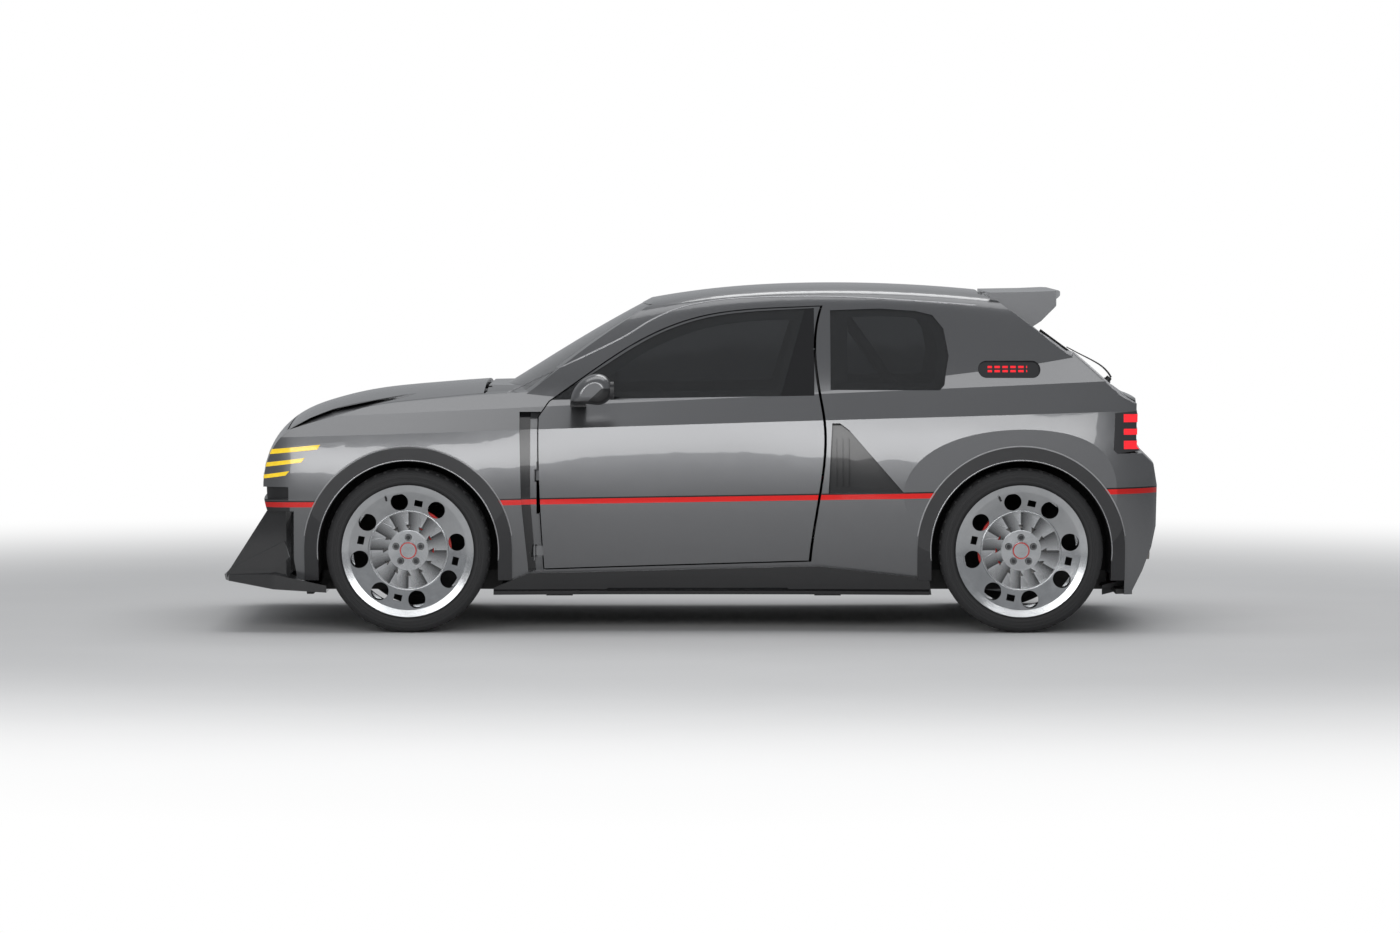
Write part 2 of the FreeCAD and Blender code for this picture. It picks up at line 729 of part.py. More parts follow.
def tyre(x, y):
    """A low wide tyre with bulged sidewalls, on the left side."""
    half = tyre_half_width
    bead = half - flange_width - flange_setback - seat_clearance
    base = bead_radius + seat_clearance
    lip = flange_radius + seat_clearance
    side_end = tyre_radius - tyre_shoulder * sidewall_end_share
    turn = (tyre_radius - tyre_shoulder * shoulder_edge_share, half - tyre_shoulder * shoulder_turn_share)
    tread = half - tyre_shoulder * tread_edge_share
    outboard = [(base, bead), (lip, bead), (lip + tyre_shoulder, half), (side_end, half), turn,
                (tyre_radius, tread)]
    inboard = [(radius, -offset) for radius, offset in reversed(outboard)]
    return revolve_about_axle(outboard + inboard, x, y)


def wheel_window(x, y, angle, low_radius, high_radius, low_span, high_span, floor_offset):
    """A four-sided cut in the wheel's face: its radii, its spans there and the offset of its floor."""
    radial = Vector(math.cos(angle), 0, math.sin(angle))
    tangent = Vector(-math.sin(angle), 0, math.cos(angle))
    centre = Vector(x, y - floor_offset, axle_z)
    points = [centre + radial * high_radius + tangent * high_span[0],
              centre + radial * high_radius + tangent * high_span[1],
              centre + radial * low_radius + tangent * low_span[1]]
    if low_span[0] != low_span[1]:
        points.append(centre + radial * low_radius + tangent * low_span[0])
    return Part.Face(corners(points)).extrude(Vector(0, -2 * tyre_half_width, 0))


def rim(x, y):
    """A deep dished wheel with round holes in its dish, blades round the hub and five nuts."""
    outer = tyre_half_width - flange_setback
    lip = outer - flange_width
    well = bead_radius - rim_depth_step
    inside = bead_radius - rim_wall
    ring = dish_ring_depth
    face = ring - dish_wall
    mount = mount_face_offset
    ledge, start = lip * outer_ledge_share, lip * well_outer_share
    end, inner = -lip * well_inner_share, -lip * inner_ledge_share
    points = [(flange_radius, outer), (flange_radius, lip), (bead_radius, lip), (bead_radius, ledge),
              (well, start), (well, end), (bead_radius, inner), (bead_radius, -lip),
              (flange_radius, -lip), (flange_radius, -outer), (inside, -outer), (inside, inner),
              (well - rim_wall, end), (well - rim_wall, start), (inside, ledge),
              (inside, lip - dish_wall), (dish_ring_radius, face), (hub_pad_radius, mount), (0, mount),
              (0, mount + dish_wall + hub_pad_height), (hub_pad_radius, mount + dish_wall + hub_pad_height),
              (hub_pad_radius, mount + dish_wall), (dish_ring_radius, ring), (inside, lip)]
    wheel = revolve_about_axle(points, x, y)
    cuts = []
    for index in range(dish_hole_count):
        angle = math.radians(dish_hole_lead + index * 360 / dish_hole_count)
        cx = x + dish_hole_circle * math.cos(angle)
        cz = axle_z + dish_hole_circle * math.sin(angle)
        hole = Part.makeCylinder(dish_hole_radius, tyre_half_width * 2, Vector(cx, y, cz), Vector(0, -1, 0))
        cuts.append(hole)
    for index in range(slot_count):
        angle = math.radians(slot_lead + index * 360 / slot_count)
        half = slot_length / 2
        cuts.append(wheel_window(x, y, angle, slot_circle - slot_height / 2, slot_circle + slot_height / 2,
                                 (-half, half), (-half, half), -tyre_half_width))
    for index in range(blade_count):
        angle = math.radians(index * 360 / blade_count)
        low = -blade_tip_width / 2 + blade_lean
        cuts.append(wheel_window(x, y, angle, hub_window_tip_radius, hub_window_base_radius,
                                 (0, 0), (-hub_window_width / 2, hub_window_width / 2), -tyre_half_width))
        cuts.append(wheel_window(x, y, angle, blade_root_radius, blade_tip_radius,
                                 (-blade_root_width / 2, blade_root_width / 2), (low, low + blade_tip_width),
                                 mount + dish_wall - blade_depth))
    wheel = wheel.cut(cuts)
    top = mount + dish_wall + hub_pad_height
    parts = [wheel, Part.makeCylinder(cap_radius, cap_height, Vector(x, y - top, axle_z), Vector(0, -1, 0))]
    for index in range(stud_count):
        angle = math.radians(stud_lead + index * 360 / stud_count)
        place = Vector(x + stud_circle * math.cos(angle), y - top, axle_z + stud_circle * math.sin(angle))
        parts.append(Part.makeCylinder(nut_radius, nut_height, place, Vector(0, -1, 0)))
    return union(parts)


def brake_disc(x, y):
    """The brake disc with its hat, and the hub stub that turns in the upright."""
    face = mount_face_offset
    rotor_out = disc_offset + disc_thickness / 2
    rotor_in = disc_offset - disc_thickness / 2
    stub_end = -(upright_start + upright_thickness + shut_gap)
    points = [(0, face), (hat_radius, face), (hat_radius, rotor_out), (disc_radius, rotor_out),
              (disc_radius, rotor_in), (hat_radius - hat_wall, rotor_in),
              (hat_radius - hat_wall, face - hat_wall), (stub_radius, face - hat_wall),
              (stub_radius, stub_end), (0, stub_end)]
    return revolve_about_axle(points, x, y)


def caliper(x, y, centre_degrees):
    """A caliper that straddles the disc's rim."""
    def band(low_radius, high_radius, half):
        return revolve_about_axle([(low_radius, disc_offset + half), (high_radius, disc_offset + half),
                                   (high_radius, disc_offset - half), (low_radius, disc_offset - half)], x, y)
    ring = band(caliper_inner_radius, caliper_outer_radius, caliper_width / 2)
    slot = band(0, disc_radius + caliper_slot_gap, disc_thickness / 2 + caliper_slot_gap)
    reach = caliper_outer_radius * 2
    low = math.radians(centre_degrees - caliper_sweep / 2)
    high = math.radians(centre_degrees + caliper_sweep / 2)
    wedge = Part.Face(corners([
        Vector(x, y - tyre_half_width, axle_z),
        Vector(x + reach * math.cos(low), y - tyre_half_width, axle_z + reach * math.sin(low)),
        Vector(x + reach * math.cos(high), y - tyre_half_width, axle_z + reach * math.sin(high))]))
    wedge = wedge.extrude(Vector(0, 2 * tyre_half_width, 0))
    return ring.common(wedge).cut(slot)


def upright(x, y, caliper_degrees):
    """The wheel carrier: bored for the hub stub, with its caliper and kingpin bosses."""
    near = y + upright_start
    far = near + upright_thickness
    plate = block(x - upright_half_width, x + upright_half_width, near, far,
                  axle_z - kingpin_half_height, axle_z + kingpin_half_height)
    middle = (caliper_inner_radius + disc_radius) / 2
    bridge = block(0, middle, near, far, -upright_half_width, upright_half_width)
    bridge.rotate(Vector(0, 0, 0), Vector(0, 1, 0), -caliper_degrees)
    bridge.translate(Vector(x, 0, axle_z))
    body = union([plate, bridge])
    body = body.fuse(caliper(x, y, caliper_degrees))
    bore = Part.makeCylinder(stub_radius + running_clearance, tyre_half_width * 2,
                             Vector(x, y - tyre_half_width, axle_z), Vector(0, 1, 0))
    return body.cut(bore)


def kingpins(x, y):
    """Upper and lower kingpin stubs of a steered upright."""
    pins = []
    for side in (-1, 1):
        base = Vector(x, y + kingpin_inset, axle_z + side * (kingpin_half_height - arm_thickness))
        length = arm_thickness + arm_eye_height
        pins.append(Part.makeCylinder(kingpin_radius, length, base, Vector(0, 0, side)))
    return pins


def wishbone(x, y, side, bored):
    """One arm pair from the tub to the kingpin at the top or bottom of the upright."""
    gap = shut_gap if bored else 0
    eye_z = axle_z + side * (kingpin_half_height + gap)
    low_z = eye_z if side > 0 else eye_z - arm_thickness
    outer = Vector(x, y + kingpin_inset, low_z)
    eye = Part.makeCylinder(arm_eye_radius, arm_thickness, outer, Vector(0, 0, 1))
    bars = [eye]
    for spread in (-arm_spread, arm_spread):
        root = Vector(x + spread, -wheelhouse_half, low_z)
        bar = Part.Face(corners([
            outer - Vector(arm_bar_width / 2, 0, 0), outer + Vector(arm_bar_width / 2, 0, 0),
            root + Vector(arm_bar_width / 2, 0, 0), root - Vector(arm_bar_width / 2, 0, 0)]))
        bars.append(bar.extrude(Vector(0, 0, arm_thickness)))
    arm = union(bars)
    if bored:
        hole = Part.makeCylinder(kingpin_radius + running_clearance, 4 * arm_thickness,
                                 outer - Vector(0, 0, arm_thickness), Vector(0, 0, 1))
        arm = arm.cut(hole)
    return arm


def wheel_set(pieces, end, x, track_half):
    """Tyre, rim and disc of both wheels at one end; the right wheel stands turned by half a nut's step."""
    for name, make in (("tyre", tyre), ("rim", rim), ("brake_disc", brake_disc)):
        left = make(x, -track_half)
        right = mirrored(left)
        right.rotate(Vector(x, 0, axle_z), Vector(0, 1, 0), right_wheel_turn)
        pieces[name + "_" + end + "_left"] = [left]
        pieces[name + "_" + end + "_right"] = [right]


def front_carriers(pieces):
    x, y = front_axle_x, -front_track_half
    left = union([upright(x, y, caliper_centre_front)] + kingpins(x, y))
    pieces["knuckle_left"] = [left]
    pieces["knuckle_right"] = [mirrored(left)]
    arms = [wishbone(x, y, 1, True), wishbone(x, y, -1, True)]
    pieces["front_suspension"] = arms + [mirrored(arm) for arm in arms]


def rear_carriers(pieces):
    x, y = rear_axle_x, -rear_track_half
    left = union([upright(x, y, caliper_centre_rear), wishbone(x, y, 1, False), wishbone(x, y, -1, False)])
    pieces["rear_suspension"] = both_sides(left)


def wheel_liners():
    """Wheelhouse linings: a half ring over each tyre and the wall inboard of it."""
    found = []
    inner_form = lower_body(door_wall + seat_clearance)
    bottom = level(liner_bottom_share)
    for axle_x in (front_axle_x, rear_axle_x):
        outer = arch_prism(axle_x, arch_opening_radius + liner_wall, bottom)
        hollow = arch_prism(axle_x, arch_opening_radius, bottom - cut_overrun)
        side = block(-car_length, car_length, left_far, -wheelhouse_half, 0, car_height)
        wall = block(-car_length, car_length, -wheelhouse_half, -tub_half_width, 0, car_height)
        lining = outer.common(inner_form)
        lining = lining.common(side).cut(hollow).fuse(outer.common(wall))
        found += keep_large(lining)
    return found


def head_on_prism(pairs, x0, x1):
    """A prism along the car from (half width share, height share) pairs, the same on both sides."""
    right = [Vector(x0, width * body_half_width, level(height)) for width, height in pairs]
    left = [Vector(x0, -point.y, point.z) for point in reversed(right)]
    return Part.Face(corners(right + left)).extrude(Vector(x1 - x0, 0, 0))


def framed(pairs, border):
    """Head-on pairs drawn in by a border in millimetres."""
    side = border / body_half_width
    rise = border / car_height
    low = min(height for width, height in pairs)
    return [(width - side, height + (rise if height == low else -rise)) for width, height in pairs]


def hatch_prism(growth):
    """The tailgate's outline seen from behind, grown or drawn in."""
    side = growth / body_half_width
    rise = growth / car_height
    pairs = [(width + side, height - rise) for width, height in hatch_outline_shares]
    return head_on_prism(pairs, station(hatch_top_share) - growth, station(beyond_tail_share))


def hatch_draft(growth):
    """The tailgate's side edges carried square to its glass, so that it lifts out freely."""
    top, end = [side_point(pair) for pair in hatch_line_shares[:2]]
    fall = end - top
    outward = Vector(-fall.z, 0, fall.x).normalize() * car_height
    start, finish = hatch_line_shares[0][1], hatch_line_shares[1][1]
    right = []
    for width, height in hatch_draft_shares:
        place = top + fall * ((height - start) / (finish - start))
        right.append(place + Vector(0, width * body_half_width + growth, 0))
    left = [Vector(p.x, -p.y, p.z) for p in reversed(right)]
    face = Part.Face(corners(right + left))
    face.translate(outward * -1)
    return face.extrude(outward * 2)


def door_relief():
    """The slot behind the side vent's rear edge that the left door's front corner turns in."""
    x = station(door_hinge_share)
    low, high = [level(share) for share in door_relief_level_shares]
    return block(x + door_relief_start, x + door_relief_end, -door_relief_outer_half,
                 -door_relief_inner_half, low, high)


def hatch_relief():
    """The rebate in the roof's rear edge that the tailgate's front edge turns in."""
    x = station(hatch_hinge_share)
    z = level(hatch_hinge_level_share) - hatch_hinge_drop
    half = hatch_outline_shares[0][0] * body_half_width
    reach = hatch_relief_radius
    swept = Part.makeCylinder(reach, 2 * half, Vector(x, -half, z), Vector(0, 1, 0))
    return swept.common(block(x - reach, x + reach, -half, half, z + hatch_relief_floor, z + reach))


def bonnet_prism(growth):
    """The bonnet's outline seen from above, grown or drawn in."""
    side = growth / body_half_width
    ends = {bonnet_plan_shares[0][0]: -growth, bonnet_plan_shares[-1][0]: growth}
    right = []
    for reach, width in bonnet_plan_shares:
        y = (width + side) * body_half_width if width else 0
        right.append(Vector(station(reach) + ends.get(reach, 0), y, level(bonnet_floor_share)))
    left = [Vector(p.x, -p.y, p.z) for p in reversed(right) if p.y]
    return Part.Face(corners(right[1:-1] + left)).extrude(Vector(0, 0, car_height))


def spread(shape):
    """A left-hand shape's solids and their mirror images."""
    found = []
    for solid in keep_large(shape):
        found += both_sides(solid)
    return found


def make_forms():
    """The closed forms that every panel is cut from."""
    forms = {
        "lower": lower_body(0),
        "upper": upper_body(0),
        "lower_thin": lower_body(panel_wall),
        "lower_thick": lower_body(door_wall),
        "upper_thick": upper_body(frame_wall),
        "glass_out": upper_body(glass_inset),
        "glass_in": upper_body(glass_inset + glass_thickness),
        "glass_bed": upper_body(glass_inset + glass_thickness + glass_bed),
    }
    forms["outer"] = forms["lower"].fuse(forms["upper"])
    forms["void"] = forms["lower_thick"].fuse(forms["upper_thick"])
    forms["thick"] = forms["outer"].cut(forms["void"])
    forms["thin"] = forms["lower"].cut(forms["lower_thin"])
    forms["glass"] = forms["glass_out"].cut(forms["glass_in"])
    forms["arches"] = [arch_prism(x, arch_radius, -cut_overrun) for x in (front_axle_x, rear_axle_x)]
    return forms


def glazing(pieces, forms):
    """Windscreen, side panes, quarter panes and rear glass, each flush in its bed."""
    screen_start, screen_end = station(screen_reach_shares[0]), station(screen_reach_shares[1])
    screen = head_on_prism(framed(screen_pane_shares, glass_bed), screen_start, screen_end)
    pieces["windscreen"] = keep_large(forms["glass"].common(screen))
    hatch = head_on_prism(framed(hatch_pane_shares, glass_bed), station(hatch_reach_share),
                          station(beyond_tail_share))
    pieces["rear_glass"] = keep_large(forms["glass"].common(hatch))
    pane = across(pane_wire(pane_margin + glass_bed), left_far, -tunnel_half_width)
    left = keep_large(forms["glass"].common(pane).common(door_prism(-shut_gap, -door_rear_gap)))
    pieces["door_glass_left"] = left
    pieces["door_glass_right"] = [mirrored(solid) for solid in left]
    quarter = side_prism(drawn_in(quarter_pane_shares, glass_bed), left_far, -tunnel_half_width)
    pieces["quarter_glass"] = spread(forms["glass"].common(quarter))


def drawn_in(shares, border):
    """A convex side outline drawn in towards its middle by about a border."""
    middle_u = sum(pair[0] for pair in shares) / len(shares)
    middle_h = sum(pair[1] for pair in shares) / len(shares)
    centre = side_point((middle_u, middle_h))
    found = []
    for reach, height in shares:
        point = side_point((reach, height))
        du = border / wheelbase if point.x < centre.x else -border / wheelbase
        dh = border / car_height if point.z < centre.z else -border / car_height
        found.append((reach + du, height + dh))
    return found


def beds(forms):
    """What each pane's bed takes from the frames, and the openings behind the panes."""
    cuts = []
    screen_start, screen_end = station(screen_reach_shares[0]), station(screen_reach_shares[1])
    hatch_end = station(beyond_tail_share)
    for prism in (head_on_prism(screen_pane_shares, screen_start, screen_end),
                  head_on_prism(hatch_pane_shares, station(hatch_reach_share), hatch_end),
                  across(pane_wire(pane_margin), left_far, -tunnel_half_width),
                  side_prism(quarter_pane_shares, left_far, -tunnel_half_width)):
        cuts.append(prism.cut(forms["glass_bed"]))
    openings = [
        head_on_prism(framed(screen_pane_shares, glass_border), screen_start, screen_end),
        head_on_prism(framed(hatch_pane_shares, glass_border), station(hatch_opening_share), hatch_end),
        across(window_wire(), left_far, -tunnel_half_width),
        side_prism(quarter_window_shares, left_far, -tunnel_half_width)]
    return cuts, openings


def pill_prism(growth):
    """The rear pillar lamp's outline, a long slot with round ends."""
    radius = pill_radius + growth
    start, end = side_point(pill_shares[0]), side_point(pill_shares[1])
    up = Vector(0, 0, radius)
    wire = Part.Wire([Part.makeLine(start + up, end + up),
                      Part.Arc(end + up, end + Vector(radius, 0, 0), end - up).toShape(),
                      Part.makeLine(end - up, start - up),
                      Part.Arc(start - up, start - Vector(radius, 0, 0), start + up).toShape()])
    return across(wire, left_far, -tunnel_half_width)


def panels(pieces, forms):
    """Every body panel, cut from the closed forms."""
    left = left_half()
    bed_cuts, openings = beds(forms)
    screen_cuts = [bed_cuts[0], openings[0]]
    hatch_cuts = [bed_cuts[1], openings[1]]
    door_cuts = [bed_cuts[2], openings[2]]
    quarter_cuts = [bed_cuts[3], openings[3]]
    roof_half = roof_half_share * body_half_width
    scuttle_half = scuttle_half_share * body_half_width
    roof_box = block(station(header_share), station(hatch_top_share), -roof_half, roof_half,
                     level(roof_level_shares[0]), level(roof_level_shares[1]))
    scuttle_box = block(station(scuttle_start_share), station(scuttle_end_share), -scuttle_half, scuttle_half,
                        level(scuttle_level_shares[0]), level(scuttle_level_shares[1]))
    door_knuckles, door_pins, door_pockets = zip(*door_hinges())
    lid_knuckles, lid_pins, lid_pockets = zip(*bonnet_hinges())
    hatch_knuckles, hatch_pins, hatch_pockets = zip(*hatch_hinges())

    side = forms["thick"].common(left).common(side_prism(side_region_shares, left_far, 0))
    pockets = [door_prism(0, 0), roof_box, scuttle_box, hatch_prism(0)] + forms["arches"]
    pockets += quarter_cuts + screen_cuts + [hatch_relief()]
    pockets += [side_prism(vent_shares, left_far, 0).cut(lower_body(vent_depth)),
                side_prism(intake_shares, left_far, 0).cut(lower_body(intake_depth)),
                side_prism(tail_lamp_shares, left_far, -tail_lamp_half_inner),
                pill_prism(0).cut(upper_body(pill_inset + pill_thickness + glass_bed))]
    side = side.cut(pockets + list(door_pockets) + [door_relief()])
    side = union(keep_large(side)[:1] + list(door_pins))
    pieces["side_frames"] = both_sides(side)

    roof = forms["thick"].common(roof_box).cut(screen_cuts + list(hatch_pockets) + [hatch_relief()])
    pieces["roof_panel"] = [union(keep_large(roof)[:1] + list(hatch_pins))]
    scuttle = forms["thick"].common(scuttle_box)
    scuttle = scuttle.cut(screen_cuts + list(lid_pockets) + both_sides(door_prism(0, 0)))
    pieces["scuttle_panel"] = [union(keep_large(scuttle)[:1] + list(lid_pins))]

    door = forms["thick"].common(door_prism(-shut_gap, -door_rear_gap)).common(left).cut(door_cuts)
    door = union(keep_large(door)[:1] + list(door_knuckles))
    pieces["door_left"] = [door]
    pieces["door_right"] = [mirrored(door)]

    tailgate = forms["thick"].common(hatch_prism(-shut_gap)).common(hatch_draft(-shut_gap))
    tailgate = tailgate.cut(hatch_cuts)
    pieces["tailgate"] = [union(keep_large(tailgate)[:1] + list(hatch_knuckles))]

    fender = forms["thin"].common(left).common(side_prism(fender_region_shares, left_far, 0))
    nose_box = block(nose_x - cut_overrun, station(bonnet_plan_shares[0][0]), -headlamp_half_inner,
                     headlamp_half_inner, 0, car_height)
    seam_box = block(station(bonnet_plan_shares[-1][0]) - bonnet_gap, station(scuttle_end_share),
                     -scuttle_half, scuttle_half, level(scuttle_level_shares[0]),
                     level(scuttle_level_shares[1]))
    fender = fender.cut(forms["arches"] + [bonnet_prism(0), nose_box, seam_box] + list(lid_pockets))
    bonnet = forms["thin"].common(bonnet_prism(-bonnet_gap))
    slit = both_sides(side_prism(slit_shares, left_far, -slit_half_inner).cut(lower_body(slit_depth)))
    bonnet = bonnet.cut(slit)
    pieces["front_fenders"] = spread(fender.cut(slit[0]))
    pieces["bonnet"] = [union(keep_large(bonnet)[:1] + list(lid_knuckles))]

    bar_cuts = []
    lamp_form = lower_body(lamp_depth)
    lamp_skin = lower_body(-lamp_proud).cut(lamp_form)
    lamps = []
    for table in bar_tables_shares:
        bar = side_prism(table, left_far, -headlamp_half_inner)
        bar_cuts += both_sides(bar.cut(lamp_form))
        lamps += spread(lamp_skin.common(bar))
    pieces["headlamps"] = lamps
    inlet = side_prism(slot_inlet_shares, left_far, right_far)
    nose = forms["thin"].common(side_prism(bumper_region_shares, left_far, right_far))
    nose = nose.fuse(forms["thin"].common(nose_box).cut([bonnet_prism(0)]))
    blade = splitter(forms)
    nose = nose.cut(forms["arches"] + bar_cuts + [inlet.cut(lamp_form), blade[0]])
    pieces["front_bumper"] = keep_large(nose)[:1]
    pieces["splitter"] = blade

    tail = forms["thin"].common(side_prism(tail_region_shares, left_far, right_far)).cut(forms["arches"])
    pieces["rear_bumper"] = keep_large(tail)[:1]
    lamp = lower_body(-tail_lamp_proud).cut(forms["void"])
    lamp = lamp.common(side_prism(tail_lamp_shares, left_far, -tail_lamp_half_inner)).cut(hatch_prism(0))
    bar_skin = lower_body(-tail_lamp_proud - tail_bar_proud).cut(forms["lower"])
    bars = []
    for high, low in tail_bar_shares:
        bar = side_prism(((tail_bar_start_share, high), (beyond_tail_share, high), (beyond_tail_share, low),
                          (tail_bar_start_share, low)), left_far, -tail_lamp_half_inner)
        bars.append(bar_skin.common(bar).cut(hatch_prism(0)))
    lamp = keep_large(lamp)[0]
    pieces["tail_lamps"] = both_sides(lamp.fuse(bars))

    pill = upper_body(pill_inset).cut(upper_body(pill_inset + pill_thickness))
    pieces["pillar_lamps"] = spread(pill.common(pill_prism(-glass_bed)))
    grille(pieces, forms)
    cladding(pieces, forms)


def grille(pieces, forms):
    """The nose's lower opening with a frame and bars in it."""
    x = station(chin_line_shares[0][0])
    low, high = level(grille_low_share), level(grille_high_share)
    opening = block(x - cut_overrun, x + panel_wall * 2, -intake_half_width, intake_half_width, low, high)
    pieces["front_bumper"] = keep_large(pieces["front_bumper"][0].cut(opening))[:1]
    play = seat_clearance
    depth = panel_wall - shut_gap
    end = x + shut_gap + depth
    half = intake_half_width
    frame = block(x + shut_gap, end, -half + play, half - play, low + play, high - play)
    inner = block(x, x + panel_wall, -half + grille_frame, half - grille_frame, low + grille_frame,
                  high - grille_frame)
    bars = [frame.cut(inner)]
    for index in range(grille_row_count):
        z = low + (high - low) * (index + 1) / (grille_row_count + 1)
        bars.append(block(x + grille_row_set, end, -half + grille_bar, half - grille_bar, z - grille_bar / 2,
                          z + grille_bar / 2))
    for index in range(grille_post_count):
        y = half * (2 * (index + 1) / (grille_post_count + 1) - 1)
        bars.append(block(x + grille_post_set, end, y - grille_bar / 2, y + grille_bar / 2, low + grille_bar,
                          high - grille_bar))
    pieces["lower_grille"] = [union(bars)]


def splitter(forms):
    """The nose's flat lip with a curved strut at each side."""
    plan = []
    for reach, width in splitter_plan_shares:
        plan.append(Vector(station(reach), width * body_half_width, 0))
    outline = plan[1:] + [Vector(p.x, -p.y, 0) for p in reversed(plan[1:])]
    lip = Part.Face(corners(outline)).extrude(Vector(0, 0, car_height))
    lip = lip.common(side_prism(splitter_shares, left_far, right_far))
    fin = side_prism(fin_shares, -fin_half, -fin_half + fin_thickness)
    foot = side_prism(foot_shares, -fin_half - foot_reach, -fin_half + foot_reach)
    body = union([lip] + both_sides(fin.fuse(foot)))
    above = block(nose_x, front_axle_x, left_far, right_far, level(splitter_cut_share), car_height)
    return [body.cut(forms["lower"].common(above))]


def cladding(pieces, forms):
    """Arch flares, side skirts, vent plates and side intake ramps."""
    flare_skin = lower_body(-flare_stand).cut(forms["lower_thick"]).common(left_half())
    bottom = level(arch_bottom_share)
    flares = []
    for axle_x in (front_axle_x, rear_axle_x):
        opening = arch_prism(axle_x, arch_opening_radius, bottom - cut_overrun)
        flares += spread(flare_skin.common(arch_prism(axle_x, arch_radius, bottom).cut(opening)))
    pieces["arch_flares"] = flares
    skirt = lower_body(-skirt_stand).cut(forms["lower"])
    skirt = skirt.common(side_prism(skirt_shares, left_far, -tub_half_width))
    blade = lower_body(-skirt_stand - blade_stand).cut(forms["lower"])
    blade = blade.common(side_prism(skirt_blade_shares, left_far, -tub_half_width))
    scoop = lower_body(-skirt_stand - blade_stand).cut(lower_body(-skirt_stand + scoop_depth))
    scoop = scoop.common(side_prism(scoop_shares, left_far, -tub_half_width))
    skirt = skirt.cut(scoop).fuse(blade)
    skirt = skirt.cut([arch_prism(x, arch_radius, bottom) for x in (front_axle_x, rear_axle_x)])
    pieces["side_skirts"] = spread(skirt)
    vent = lower_body(vent_depth - vent_plate).cut(lower_body(vent_depth))
    vent = vent.common(side_prism(vent_plate_shares, left_far, -tub_half_width))
    vent = vent.cut([shape for hinge_set in door_hinges() for shape in hinge_set])
    floor = lower_body(intake_depth)
    ramp = lower_body(intake_depth - vent_plate).cut(floor)
    ramp = ramp.common(side_prism(intake_shares, left_far, -tub_half_width))
    slat_room = lower_body(intake_depth - vent_plate - slat_depth).cut(floor)
    slats = []
    for share in slat_start_shares:
        x = station(share)
        slat = block(x, x + slat_thickness, left_far, -tub_half_width, level(slat_level_shares[0]),
                     level(slat_level_shares[1]))
        slats.append(slat.common(slat_room))
    ramp = ramp.fuse(slats)
    pieces["body_vents"] = spread(vent) + spread(ramp)


def floor_pan(pieces, forms):
    """The floor with its tunnel, jacking pads and both bulkheads, narrow between the wheels."""
    top = floor_bottom + floor_thickness
    slab = block(nose_x, -nose_x, left_far, right_far, floor_bottom, top)
    front_room = block(nose_x, station(skirt_shares[0][0]), left_far, right_far, 0, car_height)
    rear_room = block(station(tail_region_shares[0][0]), -nose_x, left_far, right_far, 0, car_height)
    pan = slab.common(forms["lower_thick"].fuse([forms["lower_thin"].common(front_room),
                                                 forms["lower_thin"].common(rear_room)]))
    reach = arch_opening_radius + liner_wall
    wells = []
    for axle_x in (front_axle_x, rear_axle_x):
        half = reach + tyre_shoulder
        wells += both_sides(block(axle_x - half, axle_x + half, left_far, -tub_half_width, 0, car_height))
    pan = pan.cut(wells + pieces["splitter"])
    walls = []
    for share, top_share in ((front_bulkhead_share, 1.0), (rear_bulkhead_share, bulkhead_top_share)):
        x = station(share)
        sheet = block(x, x + bulkhead_thickness, left_far, right_far, floor_bottom, level(top_share))
        walls.append(sheet.common(forms["lower_thick"]))
    tunnel = block(station(front_bulkhead_share), station(rear_bulkhead_share), -tunnel_half_width,
                   tunnel_half_width, floor_bottom, floor_bottom + tunnel_height)
    sides = []
    for x in (-jack_pad_run, jack_pad_run):
        pad = block(x - jack_pad_length / 2, x + jack_pad_length / 2, -jack_pad_half - jack_pad_width / 2,
                    -jack_pad_half + jack_pad_width / 2, floor_bottom - jack_pad_drop, top)
        sides += both_sides(pad)
    for axle_x in (front_axle_x, rear_axle_x):
        side = block(axle_x - reach, axle_x + reach, -tub_half_width, -tub_half_width + liner_wall,
                     floor_bottom, axle_z + tub_side_height)
        sides += both_sides(side.common(forms["lower_thick"]))
    pieces["floor_pan"] = [union(keep_large(pan)[:1] + walls + [tunnel] + sides).cut(pieces["splitter"])]


def tube(points, radius):
    """A round tube through points, with round corners."""
    parts = []
    for start, end in zip(points, points[1:]):
        parts.append(Part.makeCylinder(radius, start.distanceToPoint(end), start, end - start))
    for point in points[1:-1]:
        parts.append(Part.makeSphere(radius, point))
    return union(parts)


